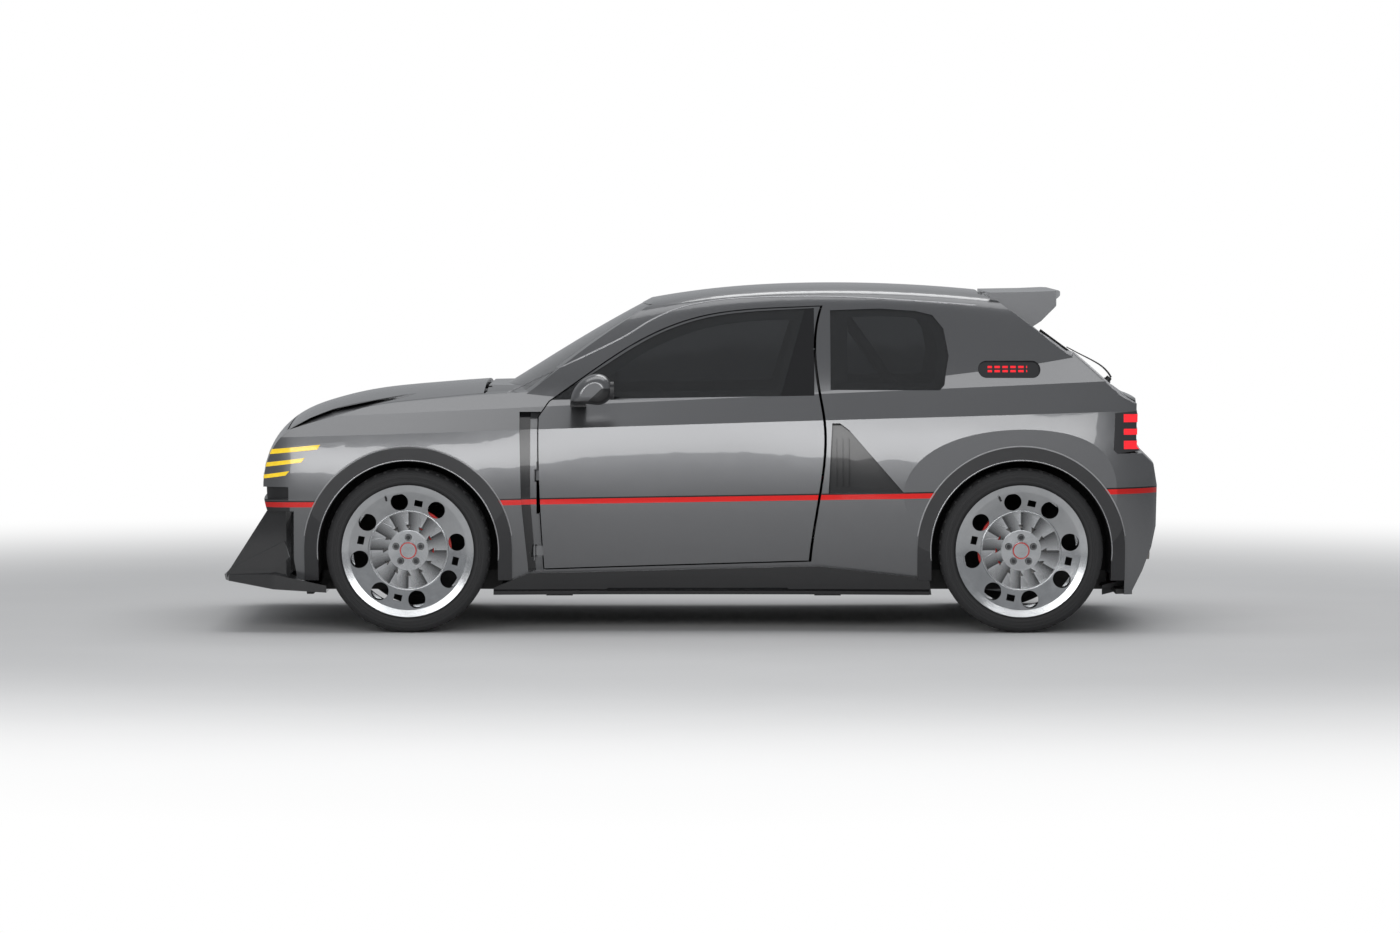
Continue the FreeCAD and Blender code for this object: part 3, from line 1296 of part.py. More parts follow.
def roll_cage(pieces):
    """A main hoop behind the seats, side rails to the dash and two rear stays."""
    floor = floor_bottom + floor_thickness
    hoop_x = station(cage_hoop_share)
    top = level(cage_top_share)
    half = cage_half_share * body_half_width
    foot = cage_foot_half_share * body_half_width
    belt = level(belt_level_share)
    hoop = tube([Vector(hoop_x, -foot, floor), Vector(hoop_x, -foot, belt), Vector(hoop_x, -half, top),
                 Vector(hoop_x, half, top), Vector(hoop_x, foot, belt), Vector(hoop_x, foot, floor)],
                cage_radius)
    front_x = station(cage_front_share)
    front_top = level(cage_front_top_share)
    parts = [hoop]
    for side in (-1, 1):
        dash_x = station(cage_dash_share)
        rail = [Vector(hoop_x, side * half, top), Vector(front_x, side * half, front_top),
                Vector(dash_x, side * foot, belt), Vector(dash_x, side * foot, floor)]
        parts.append(tube(rail, cage_radius))
        stay_end = Vector(station(cage_stay_share), side * tub_half_width * stay_foot_share, floor)
        parts.append(tube([Vector(hoop_x, side * half, top), stay_end], cage_radius))
    parts.append(tube([Vector(hoop_x, -half, top), Vector(hoop_x, foot, belt)], cage_radius))
    room = block(-car_length, car_length, left_far, right_far, floor, car_height)
    pieces["roll_cage"] = [union(parts).common(room)]


def seats(pieces):
    """Two bucket shells with side bolsters, and their pads."""
    shells = []
    pads = []
    outline = [side_point(pair) for pair in seat_shares]
    low = -seat_half - seat_width / 2
    high = -seat_half + seat_width / 2
    solid = across(corners(outline), low, high)
    inner = [side_point(pair) for pair in seat_shares[2:6]]
    lift = Vector(0, 0, seat_side_height)
    turn = inner[1] + lift - Vector(seat_side_height * seat_wing_run_share, 0, 0)
    top = inner[3] - Vector(seat_side_height * seat_wing_front_share, 0, seat_side_height)
    outer = [inner[0] + lift * seat_wing_front_share, turn, top]
    wing = across(corners([inner[0]] + outer + [inner[3], inner[2], inner[1]]), low, high)
    body = solid.fuse(wing)
    room = block(-car_length, car_length, low + seat_side_wall, high - seat_side_wall, 0, car_height)
    hollow = wing.common(room)
    for low_index, run in ((2, seat_cushion_run_shares), (4, seat_back_run_shares)):
        base, end = side_point(seat_shares[low_index]), side_point(seat_shares[low_index + 1])
        along = end - base
        outward = Vector(-along.z, 0, along.x).normalize()
        near = outward * seat_clearance
        far = outward * seat_pad_thickness
        profile = [base + along * run[0] + near, base + along * run[1] + near,
                   base + along * run[1] + far, base + along * run[0] + far]
        pad = across(corners(profile), -seat_half - seat_pad_width / 2, -seat_half + seat_pad_width / 2)
        pads += both_sides(pad)
    brackets = []
    for side in (-1, 1):
        y = -seat_half + side * (seat_width / 2 - seat_bracket_wall)
        bracket = side_prism(seat_bracket_shares, y - seat_bracket_wall / 2, y + seat_bracket_wall / 2)
        brackets.append(bracket)
    floor = floor_bottom + floor_thickness
    above_floor = block(-car_length, car_length, left_far, right_far, floor, car_height)
    shell = union([body.cut(hollow)] + brackets).common(above_floor)
    pieces["seat_shells"] = spread(shell)
    pieces["seat_pads"] = pads


def steering_wheel(pieces):
    """A three-spoke wheel on its column."""
    centre = side_point(wheel_centre_shares, -seat_half)
    tilt = math.radians(column_tilt)
    towards = Vector(math.cos(tilt), 0, math.sin(tilt))
    ring = Part.makeTorus(wheel_rim_radius, wheel_rim_tube, centre, towards)
    hub = Part.makeCylinder(wheel_hub_radius, wheel_hub_depth, centre - towards * wheel_hub_depth, towards)
    column = Part.makeCylinder(column_radius, column_length, centre - towards * wheel_hub_depth, -towards)
    spokes = []
    up = Vector(-math.sin(tilt), 0, math.cos(tilt))
    across_car = Vector(0, 1, 0)
    for angle in (0, 180, 270):
        way = across_car * math.cos(math.radians(angle)) + up * math.sin(math.radians(angle))
        beside = towards.cross(way)
        start = centre - beside * (wheel_spoke_width / 2) - towards * wheel_spoke_thickness
        face = Part.Face(corners([start, start + way * wheel_rim_radius,
                                  start + way * wheel_rim_radius + beside * wheel_spoke_width,
                                  start + beside * wheel_spoke_width]))
        spokes.append(face.extrude(towards * wheel_spoke_thickness))
    pieces["steering_wheel"] = [union([ring, hub, column] + spokes)]


def dashboard(pieces):
    """A crash pad from side to side under the windscreen, bored for the column and the cage legs."""
    x = station(dash_start_share)
    top = level(dash_top_share)
    pad = Part.Face(corners([Vector(x, 0, top - dash_height), Vector(x, 0, top),
                             Vector(x + dash_depth * dash_top_run_share, 0, top),
                             Vector(x + dash_depth, 0, top - dash_height * dash_face_drop_share),
                             Vector(x + dash_depth * dash_foot_run_share, 0, top - dash_height)]))
    pad = pad.extrude(Vector(0, body_half_width, 0)).fuse(pad.extrude(Vector(0, -body_half_width, 0)))
    centre = side_point(wheel_centre_shares, -seat_half)
    tilt = math.radians(column_tilt)
    towards = Vector(math.cos(tilt), 0, math.sin(tilt))
    bore = Part.makeCylinder(column_radius + running_clearance, column_length * 2, centre, -towards)
    room = block(-car_length, car_length, -dash_half_width, dash_half_width, 0, car_height)
    legs = []
    for side in (-1, 1):
        base = Vector(station(cage_dash_share), side * cage_foot_half_share * body_half_width, 0)
        legs.append(Part.makeCylinder(cage_radius + seat_clearance, car_height, base, Vector(0, 0, 1)))
    room = room.common(lower_body(door_wall + shut_gap))
    pieces["dashboard"] = keep_large(pad.removeSplitter().common(room).cut([bore] + legs))[:1]


def engine(pieces):
    """The engine as one plain block, behind the rear bulkhead."""
    start = station(rear_bulkhead_share) + bulkhead_thickness + engine_gap
    base = floor_bottom + floor_thickness
    pieces["engine_block"] = [block(start, start + engine_length, -engine_half_width, engine_half_width,
                                    base, base + engine_height)]


def mirrors(pieces, forms):
    """Door mirrors: a rounded housing on a short arm."""
    middle = sum((side_point(pair) for pair in mirror_shares), Vector(0, 0, 0))
    middle = middle * (1 / len(mirror_shares))
    rings = []
    for run, size in mirror_section_shares:
        y = -mirror_half_reach + run * mirror_width
        points = [middle + (side_point(pair) - middle) * size + Vector(0, y, 0) for pair in mirror_shares]
        curve = Part.BSplineCurve()
        curve.interpolate(points, PeriodicFlag=True)
        rings.append(Part.Wire([curve.toShape()]))
    housing = Part.makeLoft(rings, True, False)
    foot = side_point(mirror_shares[0], -mirror_half_reach + mirror_width / 2)
    arm = block(foot.x, foot.x + mirror_arm_length, -mirror_half_reach + mirror_width / 2, -tub_half_width,
                foot.z - mirror_arm_drop, foot.z - mirror_arm_drop + mirror_arm_height)
    left = keep_large(housing.fuse(arm).cut(forms["outer"]))[:1]
    pieces["mirror_left"] = left
    pieces["mirror_right"] = [mirrored(left[0])]


def spoiler_plan():
    """The spoiler's outline from above: its trailing edge bows back in the middle."""
    tip = station(spoiler_ear_shares[3][0])
    front = station(spoiler_ear_shares[0][0]) - cut_overrun
    left = Vector(tip - spoiler_sweep, -spoiler_half_width, 0)
    right = Vector(tip - spoiler_sweep, spoiler_half_width, 0)
    arc = Part.Arc(left, Vector(tip, 0, 0), right).toShape()
    front_left = Vector(front, -spoiler_half_width, 0)
    front_right = Vector(front, spoiler_half_width, 0)
    wire = Part.Wire([arc, Part.makeLine(right, front_right), Part.makeLine(front_right, front_left),
                      Part.makeLine(front_left, left)])
    return Part.Face(wire).extrude(Vector(0, 0, car_height + cut_overrun))


def tail_pieces(pieces, forms):
    """Roof spoiler, diffuser and tailpipes."""
    blade = side_prism(spoiler_blade_shares, -spoiler_half_width, spoiler_half_width)
    ear = side_prism(spoiler_ear_shares, -spoiler_half_width, -spoiler_half_width + spoiler_ear)
    wing = union([blade] + both_sides(ear)).common(spoiler_plan())
    wing = wing.cut([forms["upper"]] + [knuckle for knuckle, pin, pocket in hatch_hinges()])
    pieces["rear_spoiler"] = keep_large(wing)[:1]
    plate = side_prism(diffuser_shares, -diffuser_half_width, diffuser_half_width)
    fins = []
    count = int(diffuser_half_width * 2 / diffuser_fin_spacing)
    for index in range(count + 1):
        y = (index - count / 2) * diffuser_fin_spacing
        fins.append(side_prism(diffuser_fin_shares, y - diffuser_fin_thickness / 2,
                               y + diffuser_fin_thickness / 2))
    body = union([plate] + fins).cut([forms["lower"].cut(forms["lower_thin"])] + pieces["floor_pan"])
    pieces["diffuser"] = keep_large(body)[:1]
    pipes = []
    for side in (-1, 1):
        base = Vector(station(exhaust_end_share) - exhaust_length, side * exhaust_half, exhaust_level)
        pipe = Part.makeCylinder(exhaust_radius, exhaust_length, base, Vector(1, 0, 0))
        pieces["rear_bumper"] = [pieces["rear_bumper"][0].cut(pipe)]
        bore = Part.makeCylinder(exhaust_radius - exhaust_wall, exhaust_length, base, Vector(1, 0, 0))
        pipes.append(pipe.cut(bore))
    pieces["exhaust"] = pipes


def main():
    pieces = {}
    wheel_set(pieces, "front", front_axle_x, front_track_half)
    wheel_set(pieces, "rear", rear_axle_x, rear_track_half)
    front_carriers(pieces)
    rear_carriers(pieces)
    forms = make_forms()
    glazing(pieces, forms)
    panels(pieces, forms)
    floor_pan(pieces, forms)
    pieces["wheel_liners"] = [solid for lining in wheel_liners() for solid in both_sides(lining)]
    roll_cage(pieces)
    seats(pieces)
    steering_wheel(pieces)
    dashboard(pieces)
    engine(pieces)
    mirrors(pieces, forms)
    tail_pieces(pieces, forms)
    os.makedirs("parts", exist_ok=True)
    for name, solids in pieces.items():
        shape = solids[0] if len(solids) == 1 else Part.makeCompound(solids)
        print(name, len(solids), [len(solid.Solids) for solid in solids], shape.isValid(),
              round(sum(solid.Volume for solid in solids) / 1e6, 2))
        shape.exportStep("parts/" + name + ".step")


main()
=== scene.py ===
# %% [markdown]
# A wide-arched rally hatchback. Its panels, glass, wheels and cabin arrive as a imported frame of
# rigid nodes in metres: the nose points along -X, the left side along -Y and the ground is Z = 0.
# Nothing there is moved. This script gives every node its finish, models the soft and small
# things round it, such as tyres with tread, seat pads and wipers, and sets up a plain studio.
# %% Load the frame
import math
import bmesh
import bpy
from mathutils import Matrix, Vector
from mathutils.bvhtree import BVHTree


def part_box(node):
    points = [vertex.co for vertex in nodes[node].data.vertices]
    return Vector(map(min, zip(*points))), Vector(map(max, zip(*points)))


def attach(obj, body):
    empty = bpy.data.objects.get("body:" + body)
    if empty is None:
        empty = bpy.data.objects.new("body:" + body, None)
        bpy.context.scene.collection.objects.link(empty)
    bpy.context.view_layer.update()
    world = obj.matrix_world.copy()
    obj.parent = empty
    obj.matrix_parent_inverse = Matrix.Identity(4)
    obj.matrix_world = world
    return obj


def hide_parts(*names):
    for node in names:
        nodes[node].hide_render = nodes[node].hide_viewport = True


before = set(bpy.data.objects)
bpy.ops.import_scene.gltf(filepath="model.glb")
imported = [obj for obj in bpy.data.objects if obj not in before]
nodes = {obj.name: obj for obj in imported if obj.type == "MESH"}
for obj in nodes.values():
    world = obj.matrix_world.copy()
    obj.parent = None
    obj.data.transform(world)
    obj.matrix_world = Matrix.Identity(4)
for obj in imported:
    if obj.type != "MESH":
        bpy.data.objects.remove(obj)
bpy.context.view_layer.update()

# %% [markdown]
# Every size below is in metres. Wheel places come from the frame's own boxes, so the pieces that
# are made here sit on the axles wherever the frame puts them.
# %% Places taken from the frame
ENDS = ("front", "rear")
OUTWARD = {"left": -1, "right": 1}
WHEELS = [(end + "_" + side, side) for end in ENDS for side in OUTWARD]


def middle(node):
    """The middle of a node's box."""
    low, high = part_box(node)
    return (Vector(low) + Vector(high)) / 2


def placed(name, data):
    """A new object at the origin, in the scene."""
    made = bpy.data.objects.new(name, data)
    bpy.context.scene.collection.objects.link(made)
    return made


def aimed(made, place, aim):
    """Moves a camera or a lamp to a place and turns it to look at a point."""
    made.location = place
    made.rotation_euler = (Vector(aim) - Vector(place)).to_track_quat("-Z", "Y").to_euler()


axles = {tag: middle("tyre_" + tag) for tag, _ in WHEELS}
tyre_low, tyre_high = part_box("tyre_front_left")
tyre_radius = (tyre_high[2] - tyre_low[2]) / 2
tyre_half = (tyre_high[1] - tyre_low[1]) / 2
print("tyre radius", round(tyre_radius, 4), "half width", round(tyre_half, 4))

# %% [markdown]
# The camera stands where the photographer stood: level with the car's left side, a long way off
# with a long lens, a little above the bonnet. A long lens keeps the two wheels the same size.
# %% Camera
LENS = 150
SENSOR = 36
CAMERA_PLACE = (0.027, -25.0, 1.8)
CAMERA_AIM = (0.027, -0.9, 0.69)
camera_data = bpy.data.cameras.new("camera")
camera_data.lens = LENS
camera_data.sensor_width = SENSOR
camera = placed("camera", camera_data)
aimed(camera, CAMERA_PLACE, CAMERA_AIM)
bpy.context.scene.camera = camera
print("camera at", tuple(camera.location))

# %% [markdown]
# Materials are node trees on a Principled shader. Each finish starts from the same helper: its
# fixed numbers go straight on the shader's sockets, and then patterns that read the piece's own
# Object coordinates are fed to colour, roughness and bump. A pattern is worked out with plain
# arithmetic: a reading stands for a node's output, and each sum or comparison adds a Math node.
# %% Material helpers
finishes = {}


class Reading:
    """A node's output, as a value that varies over a material or a world."""

    def __init__(self, owner, socket):
        self.owner = owner
        self.socket = socket

    def worked(self, operation, *others):
        """A Math node of this reading and others, each a reading or a number."""
        node = add(self.owner, "ShaderNodeMath", operation=operation)
        for index, value in enumerate((self, *others)):
            if isinstance(value, Reading):
                link(value, node.inputs[index])
            else:
                node.inputs[index].default_value = value
        return Reading(self.owner, node.outputs[0])

    def __add__(self, other):
        return self.worked("ADD", other)

    def __sub__(self, other):
        return self.worked("SUBTRACT", other)

    def __mul__(self, other):
        return self.worked("MULTIPLY", other)

    def __abs__(self):
        return self.worked("ABSOLUTE")

    def __gt__(self, other):
        return self.worked("GREATER_THAN", other)

    def __lt__(self, other):
        return self.worked("LESS_THAN", other)


def finish(name, colour, metallic=0.0, roughness=0.5, coat=0.0):
    """A new material with its shader's fixed values."""
    material = bpy.data.materials.new(name)
    material.use_nodes = True
    shader = shader_of(material)
    shader.inputs["Base Color"].default_value = (*colour, 1)
    shader.inputs["Metallic"].default_value = metallic
    shader.inputs["Roughness"].default_value = roughness
    shader.inputs["Coat Weight"].default_value = coat
    finishes[name] = material
    return material


def add(owner, kind, **values):
    """A node of a kind in a material or a world, with named settings or inputs."""
    node = owner.node_tree.nodes.new(kind)
    for key, value in values.items():
        if hasattr(node, key):
            setattr(node, key, value)
        else:
            node.inputs[key.replace("_", " ")].default_value = value
    return node


def link(reading, into):
    reading.owner.node_tree.links.new(reading.socket, into)


def shader_of(material):
    return material.node_tree.nodes["Principled BSDF"]


def feed(material, **readings):
    """Links readings to the inputs of a material's shader."""
    for key, reading in readings.items():
        link(reading, shader_of(material).inputs[key.replace("_", " ")])


def place_of(material):
    """The piece's own coordinates."""
    return Reading(material, add(material, "ShaderNodeTexCoord").outputs["Object"])


def axes_of(material):
    """The piece's X, Y and Z as three readings."""
    separate = add(material, "ShaderNodeSeparateXYZ")
    link(place_of(material), separate.inputs[0])
    return [Reading(material, socket) for socket in separate.outputs]


def length_of(vector):
    node = add(vector.owner, "ShaderNodeVectorMath", operation="LENGTH")
    link(vector, node.inputs[0])
    return Reading(vector.owner, node.outputs["Value"])


def blend_colours(share, first, second):
    """Two colours mixed by a share; each is a reading or three numbers."""
    node = add(share.owner, "ShaderNodeMix", data_type="RGBA")
    link(share, node.inputs["Factor"])
    for socket, value in ((node.inputs[6], first), (node.inputs[7], second)):
        if isinstance(value, tuple):
            socket.default_value = (*value, 1)
        else:
            link(value, socket)
    return Reading(share.owner, node.outputs[2])


def noise(material, scale, detail=4.0):
    """Noise over the piece, 0 to 1."""
    node = add(material, "ShaderNodeTexNoise", Scale=scale, Detail=detail, Roughness=0.6)
    link(place_of(material), node.inputs["Vector"])
    return Reading(material, node.outputs["Fac"])


def bumped(height, strength, distance):
    """Bump from a height on the shader's normal."""
    node = add(height.owner, "ShaderNodeBump", Strength=strength, Distance=distance)
    link(height, node.inputs["Height"])
    feed(height.owner, Normal=Reading(height.owner, node.outputs["Normal"]))


def spread_between(value, low, high):
    """A reading of 0 to 1 stretched to run from low to high."""
    node = add(value.owner, "ShaderNodeMapRange", To_Min=low, To_Max=high)
    link(value, node.inputs["Value"])
    return Reading(value.owner, node.outputs["Result"])


def between(value, low, high):
    """1 where a reading lies between two numbers."""
    return (value > low) * (value < high)


def sloping(value, start, slope):
    """A straight line over a value, through a pair of value and result."""
    return (value - start[0]) * slope + start[1]


def cubic(value, factors):
    """A cubic of a value, its factors from the highest power down."""
    result = factors[0]
    for factor in factors[1:]:
        result = value.worked("MULTIPLY_ADD", result, factor)
    return result


# %% [markdown]
# The body is painted in a metallic mid grey under clear lacquer. The flakes are a very fine noise
# that tilts the normal a little and lightens the colour, and a second, broad noise keeps large
# panels from looking computed. The red side stripe bends a little upwards to both ends, and the
# thin black line above it is painted shade in a gap. Where a panel has a dark recess, such as the
# bonnet slit or the nose opening, a mask paints its shade as plain black; on a black part, the
# mask turns the paint to plain black too.
# %% Body paint with its side stripe
STRIPE_RED = (0.80, 0.012, 0.010)
# painted shade: the colour of the shadowed gap line above the red stripe
STRIPE_SHADOW_GAP = (0.012, 0.012, 0.013)
STRIPE_MIDDLE = 0.5505
STRIPE_SLOPE = 0.016
STRIPE_BEND = 0.00225
STRIPE_HALF = 0.0105
SHADOW_GAP_WIDTH = 0.006
STRIPE_INNER = 0.60
BLACK = (0.010, 0.010, 0.011)
PAINT_DARK = (0.105, 0.107, 0.111)
PAINT_LIGHT = (0.205, 0.208, 0.214)
PAINT_SHADE = (0.085, 0.085, 0.09)
PAINT_PLAIN = (0.12, 0.12, 0.125)
PAINT_METALLIC = 0.72
PAINT_COAT = 0.9
BLACK_COAT = 0.3
FLAKES = 2600
CLOUDS = 2.2
CLOUD_SHARE = 0.22
FLAKE_DEPTH = 0.0004
SLIT_LOW = (0.04126, 0.10441, 0.31808, 1.27402)
SLIT_TOP = (1.00652, 3.85087, 5.05911, 3.24101)
SLIT_RUN = (-1.6776, -1.1317)
SLIT_HALF = 0.52
NOSE_OPENING_TOP = 0.519
NOSE_OPENING_END = -1.672
NOSE_INSET = (0.5475, 0.6035)
NOSE_INSET_END = -1.6776
MIRROR_CORNER = (-0.4383, 0.9593)
MIRROR_SLOPE = 0.932
MIRROR_LEVELS = (0.962, 1.0151)


def striped(material, base):
    """The red side stripe and the thin black line of painted shade above it, laid over a base colour."""
    x, y, z = axes_of(material)
    height = z - x.worked("MULTIPLY_ADD", STRIPE_SLOPE, x * x * STRIPE_BEND) - STRIPE_MIDDLE
    on_side = abs(y) > STRIPE_INNER
    red = (abs(height) < STRIPE_HALF) * on_side
    # painted shade: a thin black line of shadow in the gap above the red stripe
    black = (abs(height) < STRIPE_HALF + SHADOW_GAP_WIDTH) * (height > 0.0) * on_side
    return blend_colours(red, blend_colours(black, base, STRIPE_SHADOW_GAP), STRIPE_RED)


def painted(name, make_mask=None):
    """The body paint; where a mask is 1 it is black instead, as painted shade in a recess and as a black
    part's own colour.
    """
    material = finish(name, PAINT_PLAIN, metallic=PAINT_METALLIC, roughness=0.30, coat=PAINT_COAT)
    flakes = noise(material, FLAKES, detail=1.0)
    clouds = noise(material, CLOUDS, detail=2.0)
    tone = blend_colours(flakes, PAINT_DARK, PAINT_LIGHT)
    colour = striped(material, blend_colours(spread_between(clouds, 0.0, CLOUD_SHARE), tone, PAINT_SHADE))
    if make_mask:
        mask = make_mask(*axes_of(material))
        colour = blend_colours(mask, colour, BLACK)
        feed(material, Metallic=mask * -PAINT_METALLIC + PAINT_METALLIC,
             Coat_Weight=mask * (BLACK_COAT - PAINT_COAT) + PAINT_COAT)
    feed(material, Base_Color=colour, Roughness=spread_between(flakes, 0.24, 0.36))
    bumped(flakes, 0.05, FLAKE_DEPTH)


def slit_shade_mask(x, y, z):
    """Painted shade: the dark slit that runs back along each side of the bonnet, pointed at both ends."""
    inside = (z > cubic(x, SLIT_LOW)) * (z < cubic(x, SLIT_TOP))
    return inside * (abs(y) > SLIT_HALF) * between(x, *SLIT_RUN)


def nose_shade_mask(x, y, z):
    """Painted shade in the dark opening under the stripe, and black on the small inset between it and the
    lamps.
    """
    opening = (z < NOSE_OPENING_TOP) * (x < NOSE_OPENING_END)
    inset = between(z, *NOSE_INSET) * (x < NOSE_INSET_END)
    return opening.worked("MAXIMUM", inset)


def mirror_mask(x, y, z):
    """The mirror's foot and its lower outer corner are black, up to a slanted line."""
    low, high = MIRROR_LEVELS
    line = sloping(x, MIRROR_CORNER, MIRROR_SLOPE).worked("MAXIMUM", low).worked("MINIMUM", high)
    return z < line


painted("metallic_grey_paint")
# painted shade: the bonnet slit and the nose opening are painted black on the paint
painted("bonnet_paint", slit_shade_mask)
painted("nose_paint", nose_shade_mask)
painted("mirror_paint", mirror_mask)
print("paints", len(finishes))

# %% [markdown]
# Black mouldings, rubber and chassis parts differ in how rough they are and how coarse their
# grain is, so one function makes them all: a fine grain in the bump, and a slow change of
# roughness, as hands, dust and moulding leave it.
# %% Grained finishes
GRAIN_DEPTH = 0.0006


def grained(name, dark, light, roughness, grain, strength, coat=0.0, metallic=0.0):
    """A finish with grain: its colours, its range of roughness, and the grain's scale."""
    material = finish(name, dark, metallic=metallic, roughness=roughness[0], coat=coat)
    fine = noise(material, grain, detail=3.0)
    slow = noise(material, 5.0)
    feed(material, Base_Color=blend_colours(slow, dark, light), Roughness=spread_between(slow, *roughness))
    bumped(fine, strength, GRAIN_DEPTH)
    return material


for name, *values in (
        ("black_moulding", (0.016, 0.016, 0.018), (0.030, 0.030, 0.032), (0.32, 0.46), 1400, 0.10),
        ("black_gloss", (0.008, 0.008, 0.009), (0.014, 0.014, 0.015), (0.10, 0.16), 60, 0.01, 0.6),
        ("chassis_black", (0.020, 0.020, 0.021), (0.040, 0.039, 0.038), (0.45, 0.65), 300, 0.20),
        ("liner_felt", (0.012, 0.012, 0.012), (0.022, 0.022, 0.022), (0.85, 0.95), 900, 0.5),
        ("cabin_plastic", (0.020, 0.020, 0.021), (0.032, 0.032, 0.033), (0.55, 0.70), 1100, 0.25),
        ("seat_moulding", (0.014, 0.014, 0.015), (0.024, 0.024, 0.026), (0.20, 0.30), 500, 0.04, 0.5),
        ("cage_paint", (0.055, 0.056, 0.060), (0.075, 0.076, 0.080), (0.25, 0.35), 220, 0.05, 0.4),
        ("engine_metal", (0.10, 0.10, 0.10), (0.19, 0.19, 0.18), (0.40, 0.60), 260, 0.4, 0.0, 0.8),
        ("tyre_rubber", (0.014, 0.014, 0.015), (0.028, 0.028, 0.029), (0.62, 0.80), 800, 0.18),
        ("arm_metal", (0.035, 0.035, 0.037), (0.070, 0.070, 0.072), (0.40, 0.55), 320, 0.25, 0.0, 0.6),
        ("exhaust_steel", (0.36, 0.33, 0.30), (0.52, 0.50, 0.48), (0.20, 0.40), 420, 0.06, 0.0, 1.0),
        ("wiper_rubber", (0.010, 0.010, 0.010), (0.018, 0.018, 0.018), (0.55, 0.70), 900, 0.1),
        # bright metal trim whose light colour also paints highlights: along the roof rail, and as the fine
        # line on each flare
        ("bright_trim", (0.36, 0.36, 0.37), (0.46, 0.46, 0.47), (0.22, 0.32), 700, 0.04, 0.0, 0.9),
        # painted highlight: a light copy of the body paint for the beads on the pillar edges and the arch
        # folds
        ("panel_edge", (0.30, 0.30, 0.31), (0.38, 0.38, 0.39), (0.26, 0.36), 700, 0.04, 0.8),
        ("mirror_silver", (0.55, 0.56, 0.58), (0.60, 0.61, 0.63), (0.02, 0.05), 40, 0.0, 0.0, 1.0)):
    grained(name, *values)
black_striped = grained("black_striped", BLACK, (0.018, 0.018, 0.019), (0.18, 0.28), 900, 0.05, coat=0.4)
feed(black_striped, Base_Color=striped(black_striped, BLACK))
print("finishes", len(finishes))

# %% [markdown]
# Glass is tinted in the mass. The panes are real solids with two faces, so light is dimmed as it
# goes in and again as it comes out, and the colour on the shader is about the root of what the
# whole pane lets through. A door's pane is printed black behind a slanted line, over the pillar.
# %% Tinted glass
GLASS_TINT = (0.13, 0.135, 0.14)
GLASS_CLEAR = 0.92
GLASS_INDEX = 1.45
PILLAR_FOOT = (0.9738, 0.3626)
PILLAR_LEAN = 0.2815

glass = finish("tinted_glass", GLASS_TINT, roughness=0.02, coat=0.3)
shader_of(glass).inputs["Transmission Weight"].default_value = GLASS_CLEAR
shader_of(glass).inputs["IOR"].default_value = GLASS_INDEX
feed(glass, Roughness=spread_between(noise(glass, 3.0, detail=5.0), 0.010, 0.045))
door_pane = glass.copy()
door_pane.name = "door_pane"
finishes["door_pane"] = door_pane
x, _, z = axes_of(door_pane)
clear = x < sloping(z, PILLAR_FOOT, PILLAR_LEAN)
feed(door_pane, Transmission_Weight=clear * GLASS_CLEAR, Base_Color=blend_colours(clear, BLACK, GLASS_TINT))
print("glass and door pane")

# %% [markdown]
# A lamp bar is a lit tube behind a black lens: a mask says where the light shows through, and the
# lacquer over it still reflects the room. The bars in front end in a dark tail behind a slanted
# line, three bars wrap each rear corner, and two rows of short dashes lie in each back pillar.
# %% Lit lamps
LAMP_AMBER = (0.88, 0.60, 0.02)
LAMP_RED = (0.85, 0.010, 0.020)
LAMP_DIM = 0.72
FRONT_END = (0.66, -1.678)
FRONT_SLANT = 1.343
REAR_BARS = ((0.8723, 0.9053), (0.8205, 0.8450), (0.7616, 0.7960))
REAR_BAR_START = 1.7809
DASH_ROWS = ((1.0915, 1.1005), (1.0745, 1.0835))
DASH_RUN = (1.225, 1.390)
DASH_TURNS = 190.0
DASH_GAP = -0.55


def lamp(name, colour, strength, make_mask):
    """A black lens that glows, a little unevenly, where a mask is 1."""
    material = finish(name, colour, roughness=0.22, coat=0.8)
    shader_of(material).inputs["Emission Strength"].default_value = strength
    cells = noise(material, 70.0, detail=1.0)
    glow = blend_colours(cells, tuple(channel * LAMP_DIM for channel in colour), colour)
    shown = blend_colours(make_mask(*axes_of(material)), BLACK, glow)
    feed(material, Base_Color=shown, Emission_Color=shown)


def front_mask(x, y, z):
    return x < sloping(z, FRONT_END, FRONT_SLANT)


def rear_mask(x, y, z):
    first, second, third = [between(z, *bar) for bar in REAR_BARS]
    return (first + second + third) * (x > REAR_BAR_START)


def pillar_mask(x, y, z):
    upper, lower = [between(z, *row) for row in DASH_ROWS]
    dashes = (x * DASH_TURNS).worked("SINE") > DASH_GAP
    return (upper + lower) * dashes * between(x, *DASH_RUN)


lamp("headlamp_bars", LAMP_AMBER, 0.55, front_mask)
lamp("tail_bars", LAMP_RED, 0.75, rear_mask)
lamp("pillar_light", LAMP_RED, 0.85, pillar_mask)
print("lamp lenses, finishes so far", len(finishes))

# %% [markdown]
# The wheels are turned on a lathe and polished, so the marks run round the axle. Each wheel's
# pattern is centred on its own axle by a Mapping node, and rings come from the distance to it.
# Painted shade deepens across each fan blade round the hub, from one edge to the other.
# %% Turned metal
FAN_BLADES = 12
FAN_INNER = 0.084
FAN_OUTER = 0.159
FAN_SHADE = (0.07, 0.07, 0.072)
GROOVE_BUMP = 0.0002


def radius_about(material, axle):
    """The distance from an axle that runs along Y."""
    mapping = add(material, "ShaderNodeMapping", Location=(-axle.x, 0, -axle.z), Scale=(1, 0, 1))
    link(place_of(material), mapping.inputs["Vector"])
    return length_of(Reading(material, mapping.outputs[0]))


